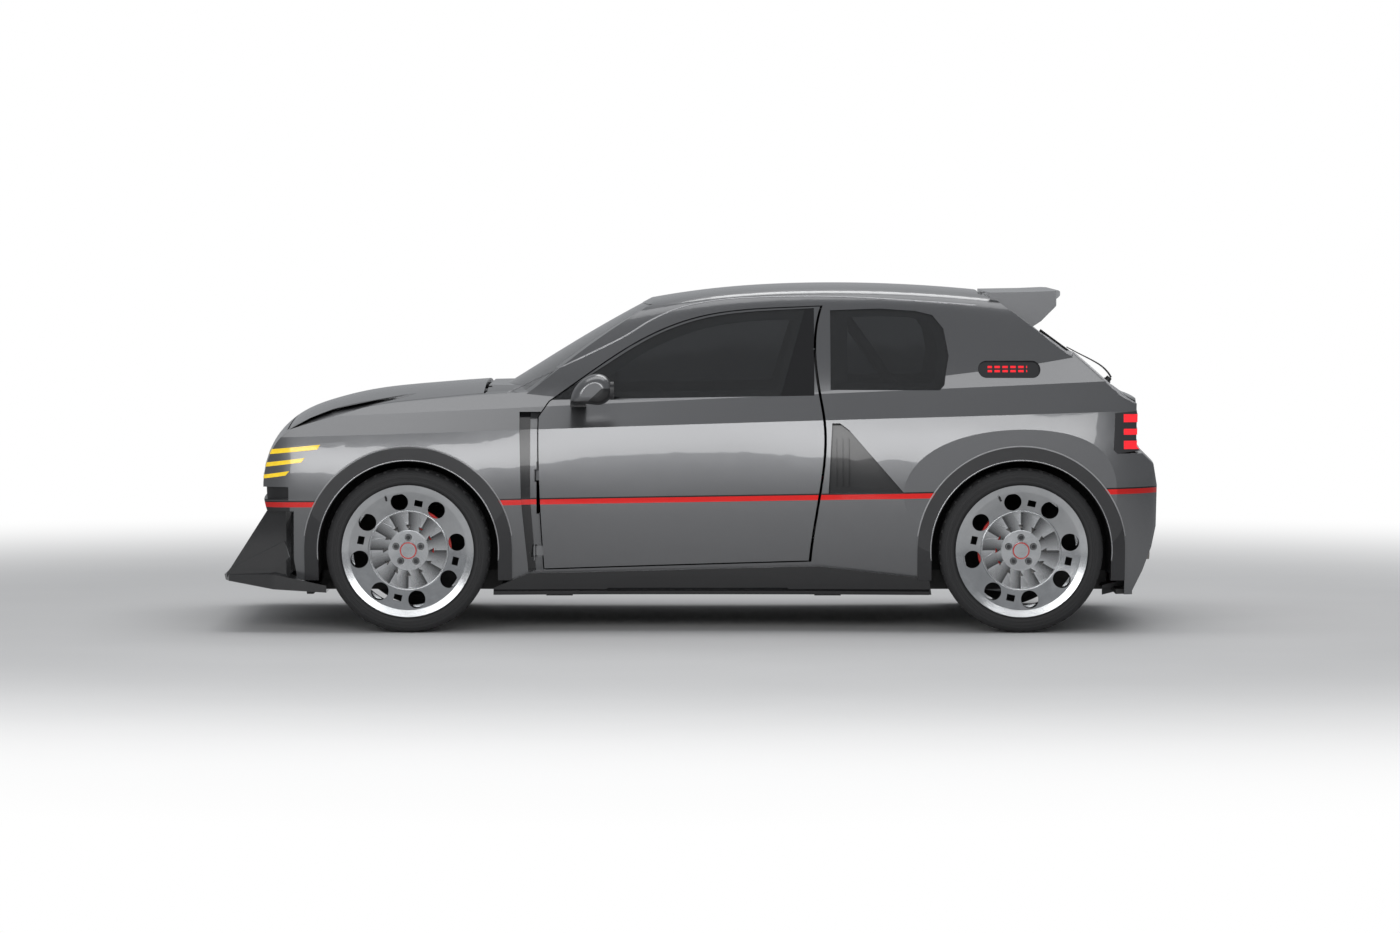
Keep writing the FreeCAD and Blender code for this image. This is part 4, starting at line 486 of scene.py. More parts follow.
def fan_shade_mask(material, axle, radius):
    """Painted shade that deepens across each of the wheel's fan blades."""
    x, _, z = axes_of(material)
    turn = (z - axle.z).worked("ARCTAN2", x - axle.x)
    ramp = (turn * (FAN_BLADES / math.tau)).worked("FRACT")
    return ramp * between(radius, FAN_INNER, FAN_OUTER)


def turned(name, axle, dark, light, roughness, rings, strength, fan=False):
    """A turned metal finish, centred on an axle."""
    material = finish(name, light, metallic=1.0, roughness=roughness[0])
    radius = radius_about(material, axle)
    wear = noise(material, 18.0, detail=6.0)
    colour = blend_colours(wear, dark, light)
    if fan:
        # painted shade across the fan blades
        colour = blend_colours(fan_shade_mask(material, axle, radius), colour, FAN_SHADE)
    feed(material, Base_Color=colour, Roughness=spread_between(wear, *roughness))
    bumped((radius * rings).worked("SINE"), strength, GROOVE_BUMP)


for tag, axle in axles.items():
    turned("wheel_metal_" + tag, axle, (0.42, 0.43, 0.44), (0.62, 0.63, 0.64), (0.12, 0.26), 5200, 0.12,
           fan=True)
    turned("disc_metal_" + tag, axle, (0.22, 0.22, 0.22), (0.36, 0.35, 0.34), (0.25, 0.42), 3600, 0.35)
print("turned metal for", len(axles), "wheels")

# %% [markdown]
# An upright and its caliper are one casting here. The caliper is painted red, and everything
# nearer the axle than the pads, or inboard of the disc, stays dark metal.
# %% Carrier metal with a red caliper
CALIPER_INNER = 0.098
CALIPER_REACH = 0.018
CALIPER_RED = (0.62, 0.018, 0.014)


def carrier_finish(name, axle):
    """Dark cast metal that turns to red paint where the caliper wraps the disc, on either side."""
    material = finish(name, (0.03, 0.03, 0.03), metallic=0.3, roughness=0.4, coat=0.4)
    outboard = abs(axes_of(material)[1]) > abs(axle.y) - CALIPER_REACH
    far = radius_about(material, axle) > CALIPER_INNER
    cast = noise(material, 240.0, detail=3.0)
    metal = blend_colours(cast, (0.035, 0.035, 0.037), (0.075, 0.075, 0.078))
    feed(material, Base_Color=blend_colours(outboard * far, metal, CALIPER_RED))
    bumped(cast, 0.15, GRAIN_DEPTH)


carrier_finish("carrier_front_left", axles["front_left"])
carrier_finish("carrier_front_right", axles["front_right"])
carrier_finish("carrier_rear", axles["rear_left"])
red_paint = finish("red_paint", CALIPER_RED, roughness=0.3, coat=0.6)
feed(red_paint, Roughness=spread_between(noise(red_paint, 40.0), 0.22, 0.38))
print("carrier finishes")

# %% [markdown]
# Seat cloth is a plain weave. Two sine waves at right angles give the threads, and a slow noise
# fades it where it has been sat on. The pattern follows Object coordinates, so it needs no map.
# %% Seat cloth
SHEEN = 0.35
WORN = 1.5


def woven(name, dark, light, threads):
    """A woven cloth with raised threads and a soft sheen."""
    material = finish(name, dark, roughness=0.9)
    shader_of(material).inputs["Sheen Weight"].default_value = SHEEN
    x, y, z = axes_of(material)
    weave = ((x + z) * threads).worked("SINE") * (y * threads).worked("SINE")
    worn = blend_colours(noise(material, 6.0), dark, tuple(channel * WORN for channel in dark))
    feed(material, Base_Color=blend_colours(spread_between(weave, 0.0, 1.0), worn, light))
    bumped(weave, 0.4, GRAIN_DEPTH)


woven("seat_cloth", (0.020, 0.020, 0.022), (0.050, 0.050, 0.054), 2600)
woven("wheel_suede", (0.016, 0.016, 0.017), (0.030, 0.030, 0.032), 5200)
print("cloth and suede")

# %% [markdown]
# Now each node of the frame is given its finish. The table names the nodes that wear each finish,
# and a loop adds the nodes of the wheels.
# %% Dress the frame
WEARERS = {
    "metallic_grey_paint": "side_frames roof_panel door_left door_right tailgate rear_bumper rear_spoiler",
    "bonnet_paint": "front_fenders bonnet",
    "nose_paint": "front_bumper",
    "mirror_paint": "mirror_left mirror_right",
    "black_gloss": "scuttle_panel splitter side_skirts",
    "black_moulding": "lower_grille arch_flares diffuser",
    "black_striped": "body_vents",
    "tinted_glass": "windscreen rear_glass quarter_glass",
    "door_pane": "door_glass_left door_glass_right",
    "headlamp_bars": "headlamps",
    "tail_bars": "tail_lamps",
    "pillar_light": "pillar_lamps",
    "liner_felt": "wheel_liners",
    "chassis_black": "floor_pan",
    "arm_metal": "front_suspension",
    "carrier_front_left": "knuckle_left",
    "carrier_front_right": "knuckle_right",
    "carrier_rear": "rear_suspension",
    "cage_paint": "roll_cage",
    "seat_moulding": "seat_shells",
    "seat_cloth": "seat_pads",
    "wheel_suede": "steering_wheel",
    "cabin_plastic": "dashboard",
    "engine_metal": "engine_block",
    "exhaust_steel": "exhaust",
}
dress = {node: name for name, wearers in WEARERS.items() for node in wearers.split()}
for tag in axles:
    dress["tyre_" + tag] = "tyre_rubber"
    dress["rim_" + tag] = "wheel_metal_" + tag
    dress["brake_disc_" + tag] = "disc_metal_" + tag
for name, node in nodes.items():
    node.data.materials.clear()
    node.data.materials.append(finishes[dress[name]])
print("dressed", len(nodes), "nodes")

# %% [markdown]
# New pieces start as a bmesh and end in one function: it writes the mesh, links the object at the
# origin, lets it ride on its body and gives it the material of its finish. Edges that turn by
# more than an angle can be marked as sharp, so that flats stay flat.
# %% Piece helpers
def piece(name, bm, finish_name, body, sharp=None):
    """A finished bmesh as a named piece that rides on a body."""
    bmesh.ops.recalc_face_normals(bm, faces=bm.faces)
    mesh = bpy.data.meshes.new(name)
    bm.to_mesh(mesh)
    bm.free()
    mesh.materials.append(finishes[finish_name])
    for face in mesh.polygons:
        face.use_smooth = True
    made = placed(name, mesh)
    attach(made, body)
    if sharp:
        mesh.set_sharp_from_angle(angle=math.radians(sharp))
    return made


def spin_about_axle(bm, points, axle, sign, steps):
    """A closed ring from (radius, outboard offset) points, spun round an axle along Y."""
    verts = [bm.verts.new((axle.x, axle.y + sign * offset, axle.z + radius)) for radius, offset in points]
    edges = [bm.edges.new((verts[i], verts[(i + 1) % len(verts)])) for i in range(len(verts))]
    bmesh.ops.spin(bm, geom=verts + edges, cent=axle, axis=(0, 1, 0), angle=math.tau,
                   steps=steps, use_merge=True, use_duplicate=False)


def about_axle(axle, sign, angle, radius, offset):
    """A point round an axle."""
    across, up = radius * math.cos(angle), radius * math.sin(angle)
    return Vector((axle.x + across, axle.y + sign * offset, axle.z + up))


def stacked(bm, base, axis, stack):
    """Capped cylinders or cones along an axis: start, radius, top radius, depth and segments of each."""
    turn = Vector((0, 0, 1)).rotation_difference(axis).to_matrix().to_4x4()
    for start, radius, top, depth, segments in stack:
        place = Matrix.Translation(base + axis * (start + depth / 2)) @ turn
        bmesh.ops.create_cone(bm, cap_ends=True, segments=segments, radius1=radius, radius2=top,
                              depth=depth, matrix=place)


def stitched(bm, loops, closed=False):
    """Loops of equal length joined by bands of faces; the ends get a face each unless it is closed."""
    rows = [[bm.verts.new(point) for point in loop] for loop in loops]
    count = len(rows[0])
    for first, second in list(zip(rows, rows[1:])) + ([(rows[-1], rows[0])] if closed else []):
        for i in range(count):
            j = (i + 1) % count
            bm.faces.new((first[i], first[j], second[j], second[i]))
    if not closed:
        bm.faces.new(rows[0])
        bm.faces.new(list(reversed(rows[-1])))


# %% [markdown]
# A low tyre has flat shoulders, a rounded sidewall with a few raised rings and a rim guard, and a
# tread cut by four grooves. The outline is spun round the axle. Then, round the tread, faces of
# the ribs are inset and pushed in to make the sipes.
# %% Tyres
TREAD_STEPS = 144
GROOVE_DEPTH = 0.007
GROOVE_HALF = 0.0045
GROOVE_TAPER = 0.7
GROOVES = (0.066, 0.024, -0.024, -0.066)
SIDEWALL = (
    (0.262, 0.0105), (0.2735, 0.0105), (0.277, 0.0075), (0.283, 0.0015), (0.289, 0.0), (0.294, 0.0005),
    (0.2955, 0.0022), (0.301, 0.0022), (0.3025, 0.0006), (0.3065, 0.0006), (0.308, 0.0024), (0.316, 0.004),
    (0.3175, 0.0032), (0.320, 0.0045), (0.327, 0.009), (0.333, 0.016), (0.3375, 0.026))
TREAD_SHARE = 0.985
TREAD_TILT = 0.6
RIB_START = 0.03
SIPE_INSET = 0.0022
SIPE_DEPTH = 0.0045


def tyre_outline():
    """The tyre's outline from one bead over the grooved tread to the other."""
    outboard = [(radius, tyre_half - inset) for radius, inset in SIDEWALL]
    tread = []
    floor_radius = tyre_radius - GROOVE_DEPTH
    narrow = GROOVE_HALF * GROOVE_TAPER
    for groove in GROOVES:
        tread += [(tyre_radius, groove + GROOVE_HALF), (floor_radius, groove + narrow),
                  (floor_radius, groove - narrow), (tyre_radius, groove - GROOVE_HALF)]
    return outboard + tread + [(radius, -offset) for radius, offset in reversed(outboard)]


def cut_sipes(bm, axle):
    """Shallow slots across the ribs, one in every three or four steps of the spin."""
    slots = []
    step = math.tau / TREAD_STEPS
    for face in bm.faces:
        centre = face.calc_center_median()
        radial = Vector((centre.x - axle.x, centre.z - axle.z))
        offset = abs(centre.y - axle.y)
        if radial.length < tyre_radius * TREAD_SHARE or abs(face.normal.y) > TREAD_TILT:
            continue
        index = int(((math.atan2(radial.y, radial.x) + math.tau) % math.tau) / step)
        shoulder = offset > max(GROOVES) and index % 3 == 0
        if shoulder or (RIB_START < offset < max(GROOVES) and index % 4 == 1):
            slots.append(face)
    bmesh.ops.inset_individual(bm, faces=slots, thickness=SIPE_INSET, depth=-SIPE_DEPTH)
    return len(slots)


for tag, side in WHEELS:
    bm = bmesh.new()
    spin_about_axle(bm, tyre_outline(), axles[tag], OUTWARD[side], TREAD_STEPS)
    bmesh.ops.recalc_face_normals(bm, faces=bm.faces)
    slot_count = cut_sipes(bm, axles[tag])
    made = piece("tread_tyre_" + tag, bm, "tyre_rubber", "wheel_" + tag, sharp=32)
    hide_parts("tyre_" + tag)
print("tyres with", slot_count, "slots each")

# %% [markdown]
# The wheel nuts are hexagons with a domed end, and the plain round cap in the middle has a thin
# red ring. A bright ring stands where the dish meets the hub's disc. All of them turn with the
# wheel, so they ride on its body. The right wheels stand turned, and so do their nuts.
# %% Nuts, caps and rings
NUT_CIRCLE = 0.054
NUT_COUNT = 5
NUT_LEAD = {"left": 90, "right": 54}
HUB_FACE = 0.067
NUT_STACK = (
    (0.0, 0.0145, 0.0145, 0.004, 20), (0.004, 0.0128, 0.0128, 0.011, 6), (0.015, 0.0110, 0.006, 0.004, 20))
DISH_RING = (
    (0.1605, 0.0595), (0.1605, 0.0650), (0.1622, 0.0668), (0.1645, 0.0668), (0.1660, 0.0650),
    (0.1660, 0.0595))
CAP_RING = ((0.0302, 0.0806), (0.0302, 0.0826), (0.0326, 0.0830), (0.0345, 0.0822), (0.0345, 0.0806),
            (0.0332, 0.0806), (0.0332, 0.0812), (0.0312, 0.0812), (0.0312, 0.0806))

for tag, side in WHEELS:
    sign = OUTWARD[side]
    wheel = "wheel_" + tag
    bm = bmesh.new()
    for index in range(NUT_COUNT):
        angle = math.radians(NUT_LEAD[side] + index * 360 / NUT_COUNT)
        base = about_axle(axles[tag], sign, angle, NUT_CIRCLE, HUB_FACE)
        stacked(bm, base, Vector((0, sign, 0)), NUT_STACK)
    piece("wheel_nuts_" + tag, bm, "arm_metal", wheel, sharp=30)
    for name, ring, finish_name, steps in (("dish_ring_", DISH_RING, "wheel_metal_" + tag, 96),
                                           ("cap_ring_", CAP_RING, "red_paint", 64)):
        bm = bmesh.new()
        spin_about_axle(bm, ring, axles[tag], sign, steps)
        piece(name + tag, bm, finish_name, wheel)
print("nuts, rings and caps on", len(axles), "wheels")

# %% [markdown]
# Trims are laid on the skin itself. A tree of a panel's faces is searched by rays, so that a line
# that is known from the side becomes a line on the curved panel, with the panel's own normal at
# every point. An outline is then carried along the line.
# %% Lines on the skin
FAR_OFF = 3.0


def skin_of(*names):
    """A tree of the faces of some nodes."""
    bm = bmesh.new()
    for name in names:
        bm.from_mesh(nodes[name].data)
    tree = BVHTree.FromBMesh(bm)
    bm.free()
    return tree


def from_side(tree, x, z, sign):
    """Where a level ray from one side meets a skin, and the normal there, or None for both."""
    return tree.ray_cast(Vector((x, sign * FAR_OFF, z)), Vector((0, -sign, 0)))[:2]


def from_above(tree, x, y):
    """Where a plumb ray from above meets a skin, and the normal there, or None for both."""
    return tree.ray_cast(Vector((x, y, FAR_OFF)), Vector((0, 0, -1)))[:2]


def smooth_line(points, steps):
    """More points, on a curve through the given ones."""
    points = [Vector(point) for point in points]
    line = []
    for index in range(len(points) - 1):
        before, after = points[max(index - 1, 0)], points[min(index + 2, len(points) - 1)]
        here, there = points[index], points[index + 1]
        for step in range(steps):
            t = step / steps
            square = 2 * before - 5 * here + 4 * there - after
            cube = 3 * here - before - 3 * there + after
            line.append(0.5 * (2 * here + (there - before) * t + square * t * t + cube * t ** 3))
    line.append(points[-1])
    return line


def evened(vectors, rounds):
    """Directions averaged with their neighbours a few times."""
    last = len(vectors) - 1
    for _ in range(rounds):
        vectors = [(vectors[max(i - 1, 0)] + vectors[i] * 2 + vectors[min(i + 1, last)]).normalized()
                   for i in range(last + 1)]
    return vectors


def carried(bm, path, ups, outline, sizes=None):
    """A closed outline of (across, up) pairs carried along a path, closed at both ends."""
    loops = []
    last = len(path) - 1
    for index, point in enumerate(path):
        ahead = (path[min(index + 1, last)] - path[max(index - 1, 0)]).normalized()
        across = ahead.cross(ups[index]).normalized()
        up = across.cross(ahead)
        size = sizes[index] if sizes else 1.0
        loops.append([point + across * (a * size) + up * (b * size) for a, b in outline])
    stitched(bm, loops)


def oval(half_width, half_height, steps):
    """The outline of an oval bead."""
    turns = [math.tau * step / steps for step in range(steps)]
    return [(half_width * math.cos(turn), half_height * math.sin(turn)) for turn in turns]


# %% [markdown]
# A bright metal strip runs from the foot of each front pillar up and along the roof to the spoiler;
# it is trim, and its light colour also paints the highlight along the roof rail's edge. A rounded
# bead also stands on the rear edge of each back pillar, beside the tailgate, and tapers at both
# ends; its light colour is a painted highlight on that edge.
# %% Roof strips and pillar beads
ROOF_STRIP = (
    (-0.7794, 0.9862), (-0.5520, 1.0937), (-0.3039, 1.2136), (-0.1799, 1.2881), (-0.0641, 1.3377),
    (0.0517, 1.3645), (0.1757, 1.3790), (0.3577, 1.3861), (0.5479, 1.3873), (0.7298, 1.3811),
    (0.8994, 1.3708), (1.0606, 1.3600), (1.1805, 1.3501))
STRIP_OUTLINE = ((-0.0030, -0.0012), (-0.0030, 0.0008), (-0.0018, 0.0016), (0.0018, 0.0016), (0.0030, 0.0008),
                 (0.0030, -0.0012))
BEAD_OUTLINE = oval(0.0060, 0.0045, 12)
BEAD_RUN = (1.440, 1.852)
BEAD_STEPS = 40
BEAD_TIP = 0.35
BEAD_GROWTH = 0.15
BEAD_UP = (0.35, 0.55, 0.76)
CORNER_SEARCH = (0.50, 0.856)
CORNER_STEPS = 89
CORNER_TILT = 0.4
CORNER_LEVEL = 0.90
body_skin = skin_of("side_frames")


def pillar_corner(x, sign):
    """Where the rear face of the back pillar turns into its side."""
    low, high = CORNER_SEARCH
    found = None
    for step in range(CORNER_STEPS + 1):
        hit, normal = from_above(body_skin, x, sign * (low + (high - low) * step / CORNER_STEPS))
        if hit is not None and normal.x > CORNER_TILT and hit.z > CORNER_LEVEL:
            found = hit
    return found


for side, sign in OUTWARD.items():
    laid = [from_side(body_skin, x, z, sign) for x, z in smooth_line(ROOF_STRIP, 8)]
    laid = [(hit, normal) for hit, normal in laid if hit is not None]
    bm = bmesh.new()
    carried(bm, [hit for hit, _ in laid], evened([normal for _, normal in laid], 8), STRIP_OUTLINE)
    # the strip's light colour also paints the highlight along the roof rail
    piece("roof_strip_" + side, bm, "bright_trim", "body_shell", sharp=35)
    low, high = BEAD_RUN
    corners = [pillar_corner(low + (high - low) * step / BEAD_STEPS, sign) for step in range(BEAD_STEPS + 1)]
    corners = [corner for corner in corners if corner is not None]
    last = len(corners) - 1
    sizes = [min(1.0, BEAD_TIP + BEAD_GROWTH * min(i, last - i)) for i in range(last + 1)]
    up = Vector((BEAD_UP[0], sign * BEAD_UP[1], BEAD_UP[2])).normalized()
    bm = bmesh.new()
    carried(bm, corners, [up] * len(corners), BEAD_OUTLINE, sizes)
    # painted highlight along the back pillar's edge
    piece("pillar_bead_" + side, bm, "panel_edge", "body_shell")
print("roof strips and pillar beads laid,", len(corners), "points in a bead")

# %% [markdown]
# The body's sheet is folded round each wheel opening, and the fold's highlight is painted as a
# thin light line outside the black flare. The flare has a fine bright line of its own on its inner
# edge, a painted highlight too.
# %% Arch lines
FOLD_RADIUS = 0.4335
FOLD_TURN = (8, 172)
FLARE_RADIUS = 0.3755
FLARE_TURN = (-8, 188)
ARCH_STEPS = 120
ARCH_SIDE = 0.70
ARCH_LINE = oval(0.0028, 0.0020, 8)
SHORTEST_STRETCH = 5
arch_skin = skin_of("side_frames", "front_fenders", "rear_bumper", "front_bumper")
flare_skin = skin_of("arch_flares")


def arch_line(bm, tree, axle, sign, radius, first, last):
    """A bead round an arch, on the stretches where the skin is found."""
    stretch = []
    for step in range(ARCH_STEPS + 2):
        place = about_axle(axle, sign, math.radians(first + (last - first) * step / ARCH_STEPS), radius, 0.0)
        hit, normal = from_side(tree, place.x, place.z, sign)
        if step <= ARCH_STEPS and hit is not None and abs(hit.y) > ARCH_SIDE:
            stretch.append((hit, normal))
            continue
        if len(stretch) >= SHORTEST_STRETCH:
            carried(bm, [h for h, _ in stretch], evened([n for _, n in stretch], 6), ARCH_LINE)
        stretch = []


for tag, side in WHEELS:
    bm = bmesh.new()
    arch_line(bm, arch_skin, axles[tag], OUTWARD[side], FOLD_RADIUS, *FOLD_TURN)
    # painted highlight on the arch fold, and below on the flare's inner edge
    piece("arch_fold_" + tag, bm, "panel_edge", "body_shell")
    bm = bmesh.new()
    arch_line(bm, flare_skin, axles[tag], OUTWARD[side], FLARE_RADIUS, *FLARE_TURN)
    piece("flare_line_" + tag, bm, "bright_trim", "body_shell")
print("arch lines on", len(axles), "arches")

# %% [markdown]
# The tailgate ends in a low lip that rises a little behind the glass and fades out towards the
# sides. Its outline is taken from the tailgate's rear edge at every step across the car: each point
# has its way from that edge, its lift, and its share of the lip's rise.
# %% Tail lip
LIP_HALF = 0.545
LIP_STEPS = 44
LIP_RISE = 0.0135
LIP_FADE = 0.05
LIP_LEAST = 0.25
LIP_EDGE_LEVEL = 0.935
LIP_EDGE_BACK = 0.003
LIP_FRONT = ((0.054, -0.002, 0.0), (0.050, 0.0008, 0.0), (0.028, 0.0, 0.6))
LIP_REAR = ((-0.003, 0.0, 1.0), (0.001, 0.0, 0.86), (0.0015, -0.004, 0.0), (-0.006, -0.010, 0.0))
tail_skin = skin_of("tailgate")


def lip_outline(y):
    """The lip's outline at one place across the car."""
    end_x = tail_skin.ray_cast(Vector((FAR_OFF, y, LIP_EDGE_LEVEL)), Vector((-1, 0, 0)))[0].x
    rise = LIP_RISE * min(1.0, LIP_LEAST + (LIP_HALF - abs(y)) / LIP_FADE)

    def on_tail(back, lift):
        return from_above(tail_skin, end_x - back, y)[0] + Vector((0, 0, lift))

    edge = on_tail(LIP_EDGE_BACK, 0.0).z
    front = [on_tail(back, lift + rise * share) for back, lift, share in LIP_FRONT]
    return front + [Vector((end_x + back, y, edge + lift + rise * share)) for back, lift, share in LIP_REAR]


bm = bmesh.new()
stitched(bm, [lip_outline(LIP_HALF * (2 * step / LIP_STEPS - 1)) for step in range(LIP_STEPS + 1)])
piece("tail_lip", bm, "black_gloss", "hatch_lid", sharp=35)
print("tail lip on the tailgate")

# %% [markdown]
# The rear wiper lies on the glass: a boss, a bowed arm that narrows, and a blade whose rubber
# just touches. It rides on the tailgate.
# %% Rear wiper
WIPER_FOOT_X = 1.768
GLASS_NORMAL = (0.593, 0.0, 0.805)
BOSS_STACK = ((-0.002, 0.017, 0.017, 0.012, 28), (0.010, 0.014, 0.012, 0.014, 28))
ARM_BOW = ((-0.006, 0.026), (0.020, 0.036), (0.060, 0.041), (0.110, 0.036), (0.170, 0.026), (0.225, 0.018))
ARM_TAPER = 0.45
ARM_OUTLINE = (
    (-0.010, -0.003), (-0.010, 0.001), (-0.006, 0.005), (0.006, 0.005), (0.010, 0.001), (0.010, -0.003))
BLADE_START = 0.095
BLADE_LENGTH = 0.265
BLADE_STEPS = 24
BLADE_OUTLINE = (
    (-0.0012, 0.0006), (-0.0016, 0.006), (-0.0050, 0.0075), (-0.0050, 0.0115), (-0.0025, 0.0145),
    (0.0025, 0.0145), (0.0050, 0.0115), (0.0050, 0.0075), (0.0016, 0.006), (0.0012, 0.0006))
pane_skin = skin_of("rear_glass", "tailgate")
wiper_foot = from_above(pane_skin, WIPER_FOOT_X, 0)[0]
glass_up = Vector(GLASS_NORMAL).normalized()


def over_glass(along, lift):
    """A point so far up the glass from the wiper's foot, and so far off it."""
    return from_above(pane_skin, wiper_foot.x - glass_up.z * along, 0)[0] + glass_up * lift


bm = bmesh.new()
stacked(bm, over_glass(0.0, 0.0), glass_up, BOSS_STACK)
piece("rear_wiper_boss", bm, "black_moulding", "hatch_lid", sharp=35)
arm_line = smooth_line([over_glass(along, lift) for along, lift in ARM_BOW], 6)
arm_sizes = [1.0 - ARM_TAPER * index / (len(arm_line) - 1) for index in range(len(arm_line))]
bm = bmesh.new()
carried(bm, arm_line, [glass_up] * len(arm_line), ARM_OUTLINE, arm_sizes)
piece("rear_wiper_arm", bm, "black_moulding", "hatch_lid", sharp=35)
bm = bmesh.new()
blade_run = [BLADE_START + BLADE_LENGTH * step / BLADE_STEPS for step in range(BLADE_STEPS + 1)]
blade_line = [over_glass(along, 0.0) for along in blade_run]
carried(bm, blade_line, [glass_up] * len(blade_line), BLADE_OUTLINE)
piece("rear_wiper_blade", bm, "wiper_rubber", "hatch_lid", sharp=40)
print("rear wiper on the tailgate")

# %% [markdown]
# Each mirror has a bezel that follows its shell's back, and a pane a little behind the bezel's
# rim. Both are found by rays from behind, and they swing with the door.
# %% Mirror panes
MIRROR_MIDDLE = (0.905, 1.006)
MIRROR_HALF = (0.058, 0.036)
MIRROR_POWER = 3.2
PANE_POINTS = 48
RIM_STAND = 0.004
RIM_SEARCH = 0.4
BEZEL_SHELL = ((1.0, -0.002), (1.0, 0.001))
BEZEL_RIM = ((0.97, 0.0), (0.93, 0.0), (0.92, -0.002), (0.92, -0.008))
PANE_RIM = ((0.918, -0.0075), (0.918, -0.0025), (0.90, -0.0020))


def pane_loop(sign, share, lift, x=None, shell=None):
    """A rounded loop behind a mirror, lifted off its shell or off a set X."""
    loop = []
    for step in range(PANE_POINTS):
        angle = math.tau * step / PANE_POINTS
        cos, sin = math.cos(angle), math.sin(angle)
        reach = share / (abs(cos) ** MIRROR_POWER + abs(sin) ** MIRROR_POWER) ** (1 / MIRROR_POWER)
        y = sign * (MIRROR_MIDDLE[0] + MIRROR_HALF[0] * cos * reach)
        z = MIRROR_MIDDLE[1] + MIRROR_HALF[1] * sin * reach
        start = shell.ray_cast(Vector((FAR_OFF, y, z)), Vector((-1, 0, 0)))[0].x if shell else x
        loop.append(Vector((start + lift, y, z)))
    return loop


for side, sign in OUTWARD.items():
    body = "door_" + side + "_leaf"
    shell = skin_of("mirror_" + side)
    rim = max(point.x for point in pane_loop(sign, RIM_SEARCH, RIM_STAND, shell=shell))
    bm = bmesh.new()
    stitched(bm, [pane_loop(sign, share, lift, shell=shell) for share, lift in BEZEL_SHELL]
             + [pane_loop(sign, share, lift, x=rim) for share, lift in BEZEL_RIM], closed=True)
    piece("mirror_bezel_" + side, bm, "black_moulding", body, sharp=35)
    bm = bmesh.new()
    stitched(bm, [pane_loop(sign, share, lift, x=rim) for share, lift in PANE_RIM])
    piece("mirror_pane_" + side, bm, "mirror_silver", body, sharp=35)
print("mirror panes", "rim at", round(rim, 4))

# %% [markdown]
# The four seat pads are stuffed cloth. Each starts as a bevelled slab a little smaller than the
# frame's pad, is remeshed to an even 6 mm grid, and is blown up by a cloth simulation while its
# base stays where it rests on the shell. The move is capped, the cloth is applied, one subdivision
# smooths it, and only then are the channels and the seams pressed in. The second seat mirrors the
# first. Each place is the line along a shell, the part of it that the pad covers, and the shares
# of the pad's length at which it has a channel.
# %% Seat pads
SEAT_HALF = 0.330
PAD_PLACES = {
    "cushion": (Vector((-0.0522, 0.0, 0.4383)), Vector((0.3034, 0.0, 0.3765)),
                (0.06, 0.92), (0.32, 0.55, 0.78)),
    "back": (Vector((0.4050, 0.0, 0.4742)), Vector((0.5193, 0.0, 1.1496)),
             (0.10, 0.80), (0.25, 0.42, 0.59, 0.76))}
PAD_VOXEL = 0.006
PAD_FRAMES = 20
PAD_CAP = 0.021
PAD_HALF = 0.178
PAD_TOP = 0.050
PAD_INSET = 0.012
PAD_CORNER = 0.045
PAD_EDGE = 0.014
PAD_EDGE_SHARE = 0.9
PAD_STAND = 0.0006
PAD_HELD = 0.008
PAD_PRESSURE = 4.0
PAD_MASS = 0.3
LENGTHWAYS = 0.105
SEAM_FADE = 0.010
CHANNEL_WIDTH = 0.0052
SEAM_WIDTH = 0.0050
SEAM_DEPTH = 0.0085
ROUND_WIDTH = 0.0040
ROUND_DEPTH = 0.0028
ROUND_LEVEL = 0.60
ROUND_CLEAR = 0.05
SEAM_START = 0.45
SEAM_RUN = 0.3


def applied(obj):
    """Gives an object its evaluated mesh in place of its modifiers."""
    depsgraph = bpy.context.evaluated_depsgraph_get()
    mesh = bpy.data.meshes.new_from_object(obj.evaluated_get(depsgraph), depsgraph=depsgraph)
    obj.modifiers.clear()
    obj.data = mesh
    return mesh


def smoothstep(value):
    value = min(max(value, 0.0), 1.0)
    return value * value * (3 - 2 * value)


def dent(distance, width):
    """A smooth dent's depth, 1 in its middle."""
    return math.exp(-(distance / width) ** 2)


def bevelled(bm, edges, offset, segments):
    bmesh.ops.bevel(bm, geom=edges, offset=offset, offset_type="OFFSET", segments=segments, profile=0.5,
                    affect="EDGES", clamp_overlap=True, material=-1)


def slab(length):
    """The bevelled slab: X along its run, Y across, Z off the shell."""
    bm = bmesh.new()
    bmesh.ops.create_cube(bm, size=1.0)
    bmesh.ops.scale(bm, vec=(length - 2 * PAD_INSET, 2 * PAD_HALF, PAD_TOP), verts=bm.verts)
    bmesh.ops.translate(bm, vec=(length / 2, 0, PAD_TOP / 2 + PAD_STAND), verts=bm.verts)
    upright = [edge for edge in bm.edges if abs(edge.verts[0].co.z - edge.verts[1].co.z) > PAD_TOP / 2]
    bevelled(bm, upright, PAD_CORNER, 6)
    bevelled(bm, [edge for edge in bm.edges
                  if min(v.co.z for v in edge.verts) > PAD_TOP * PAD_EDGE_SHARE], PAD_EDGE, 4)
    return bm


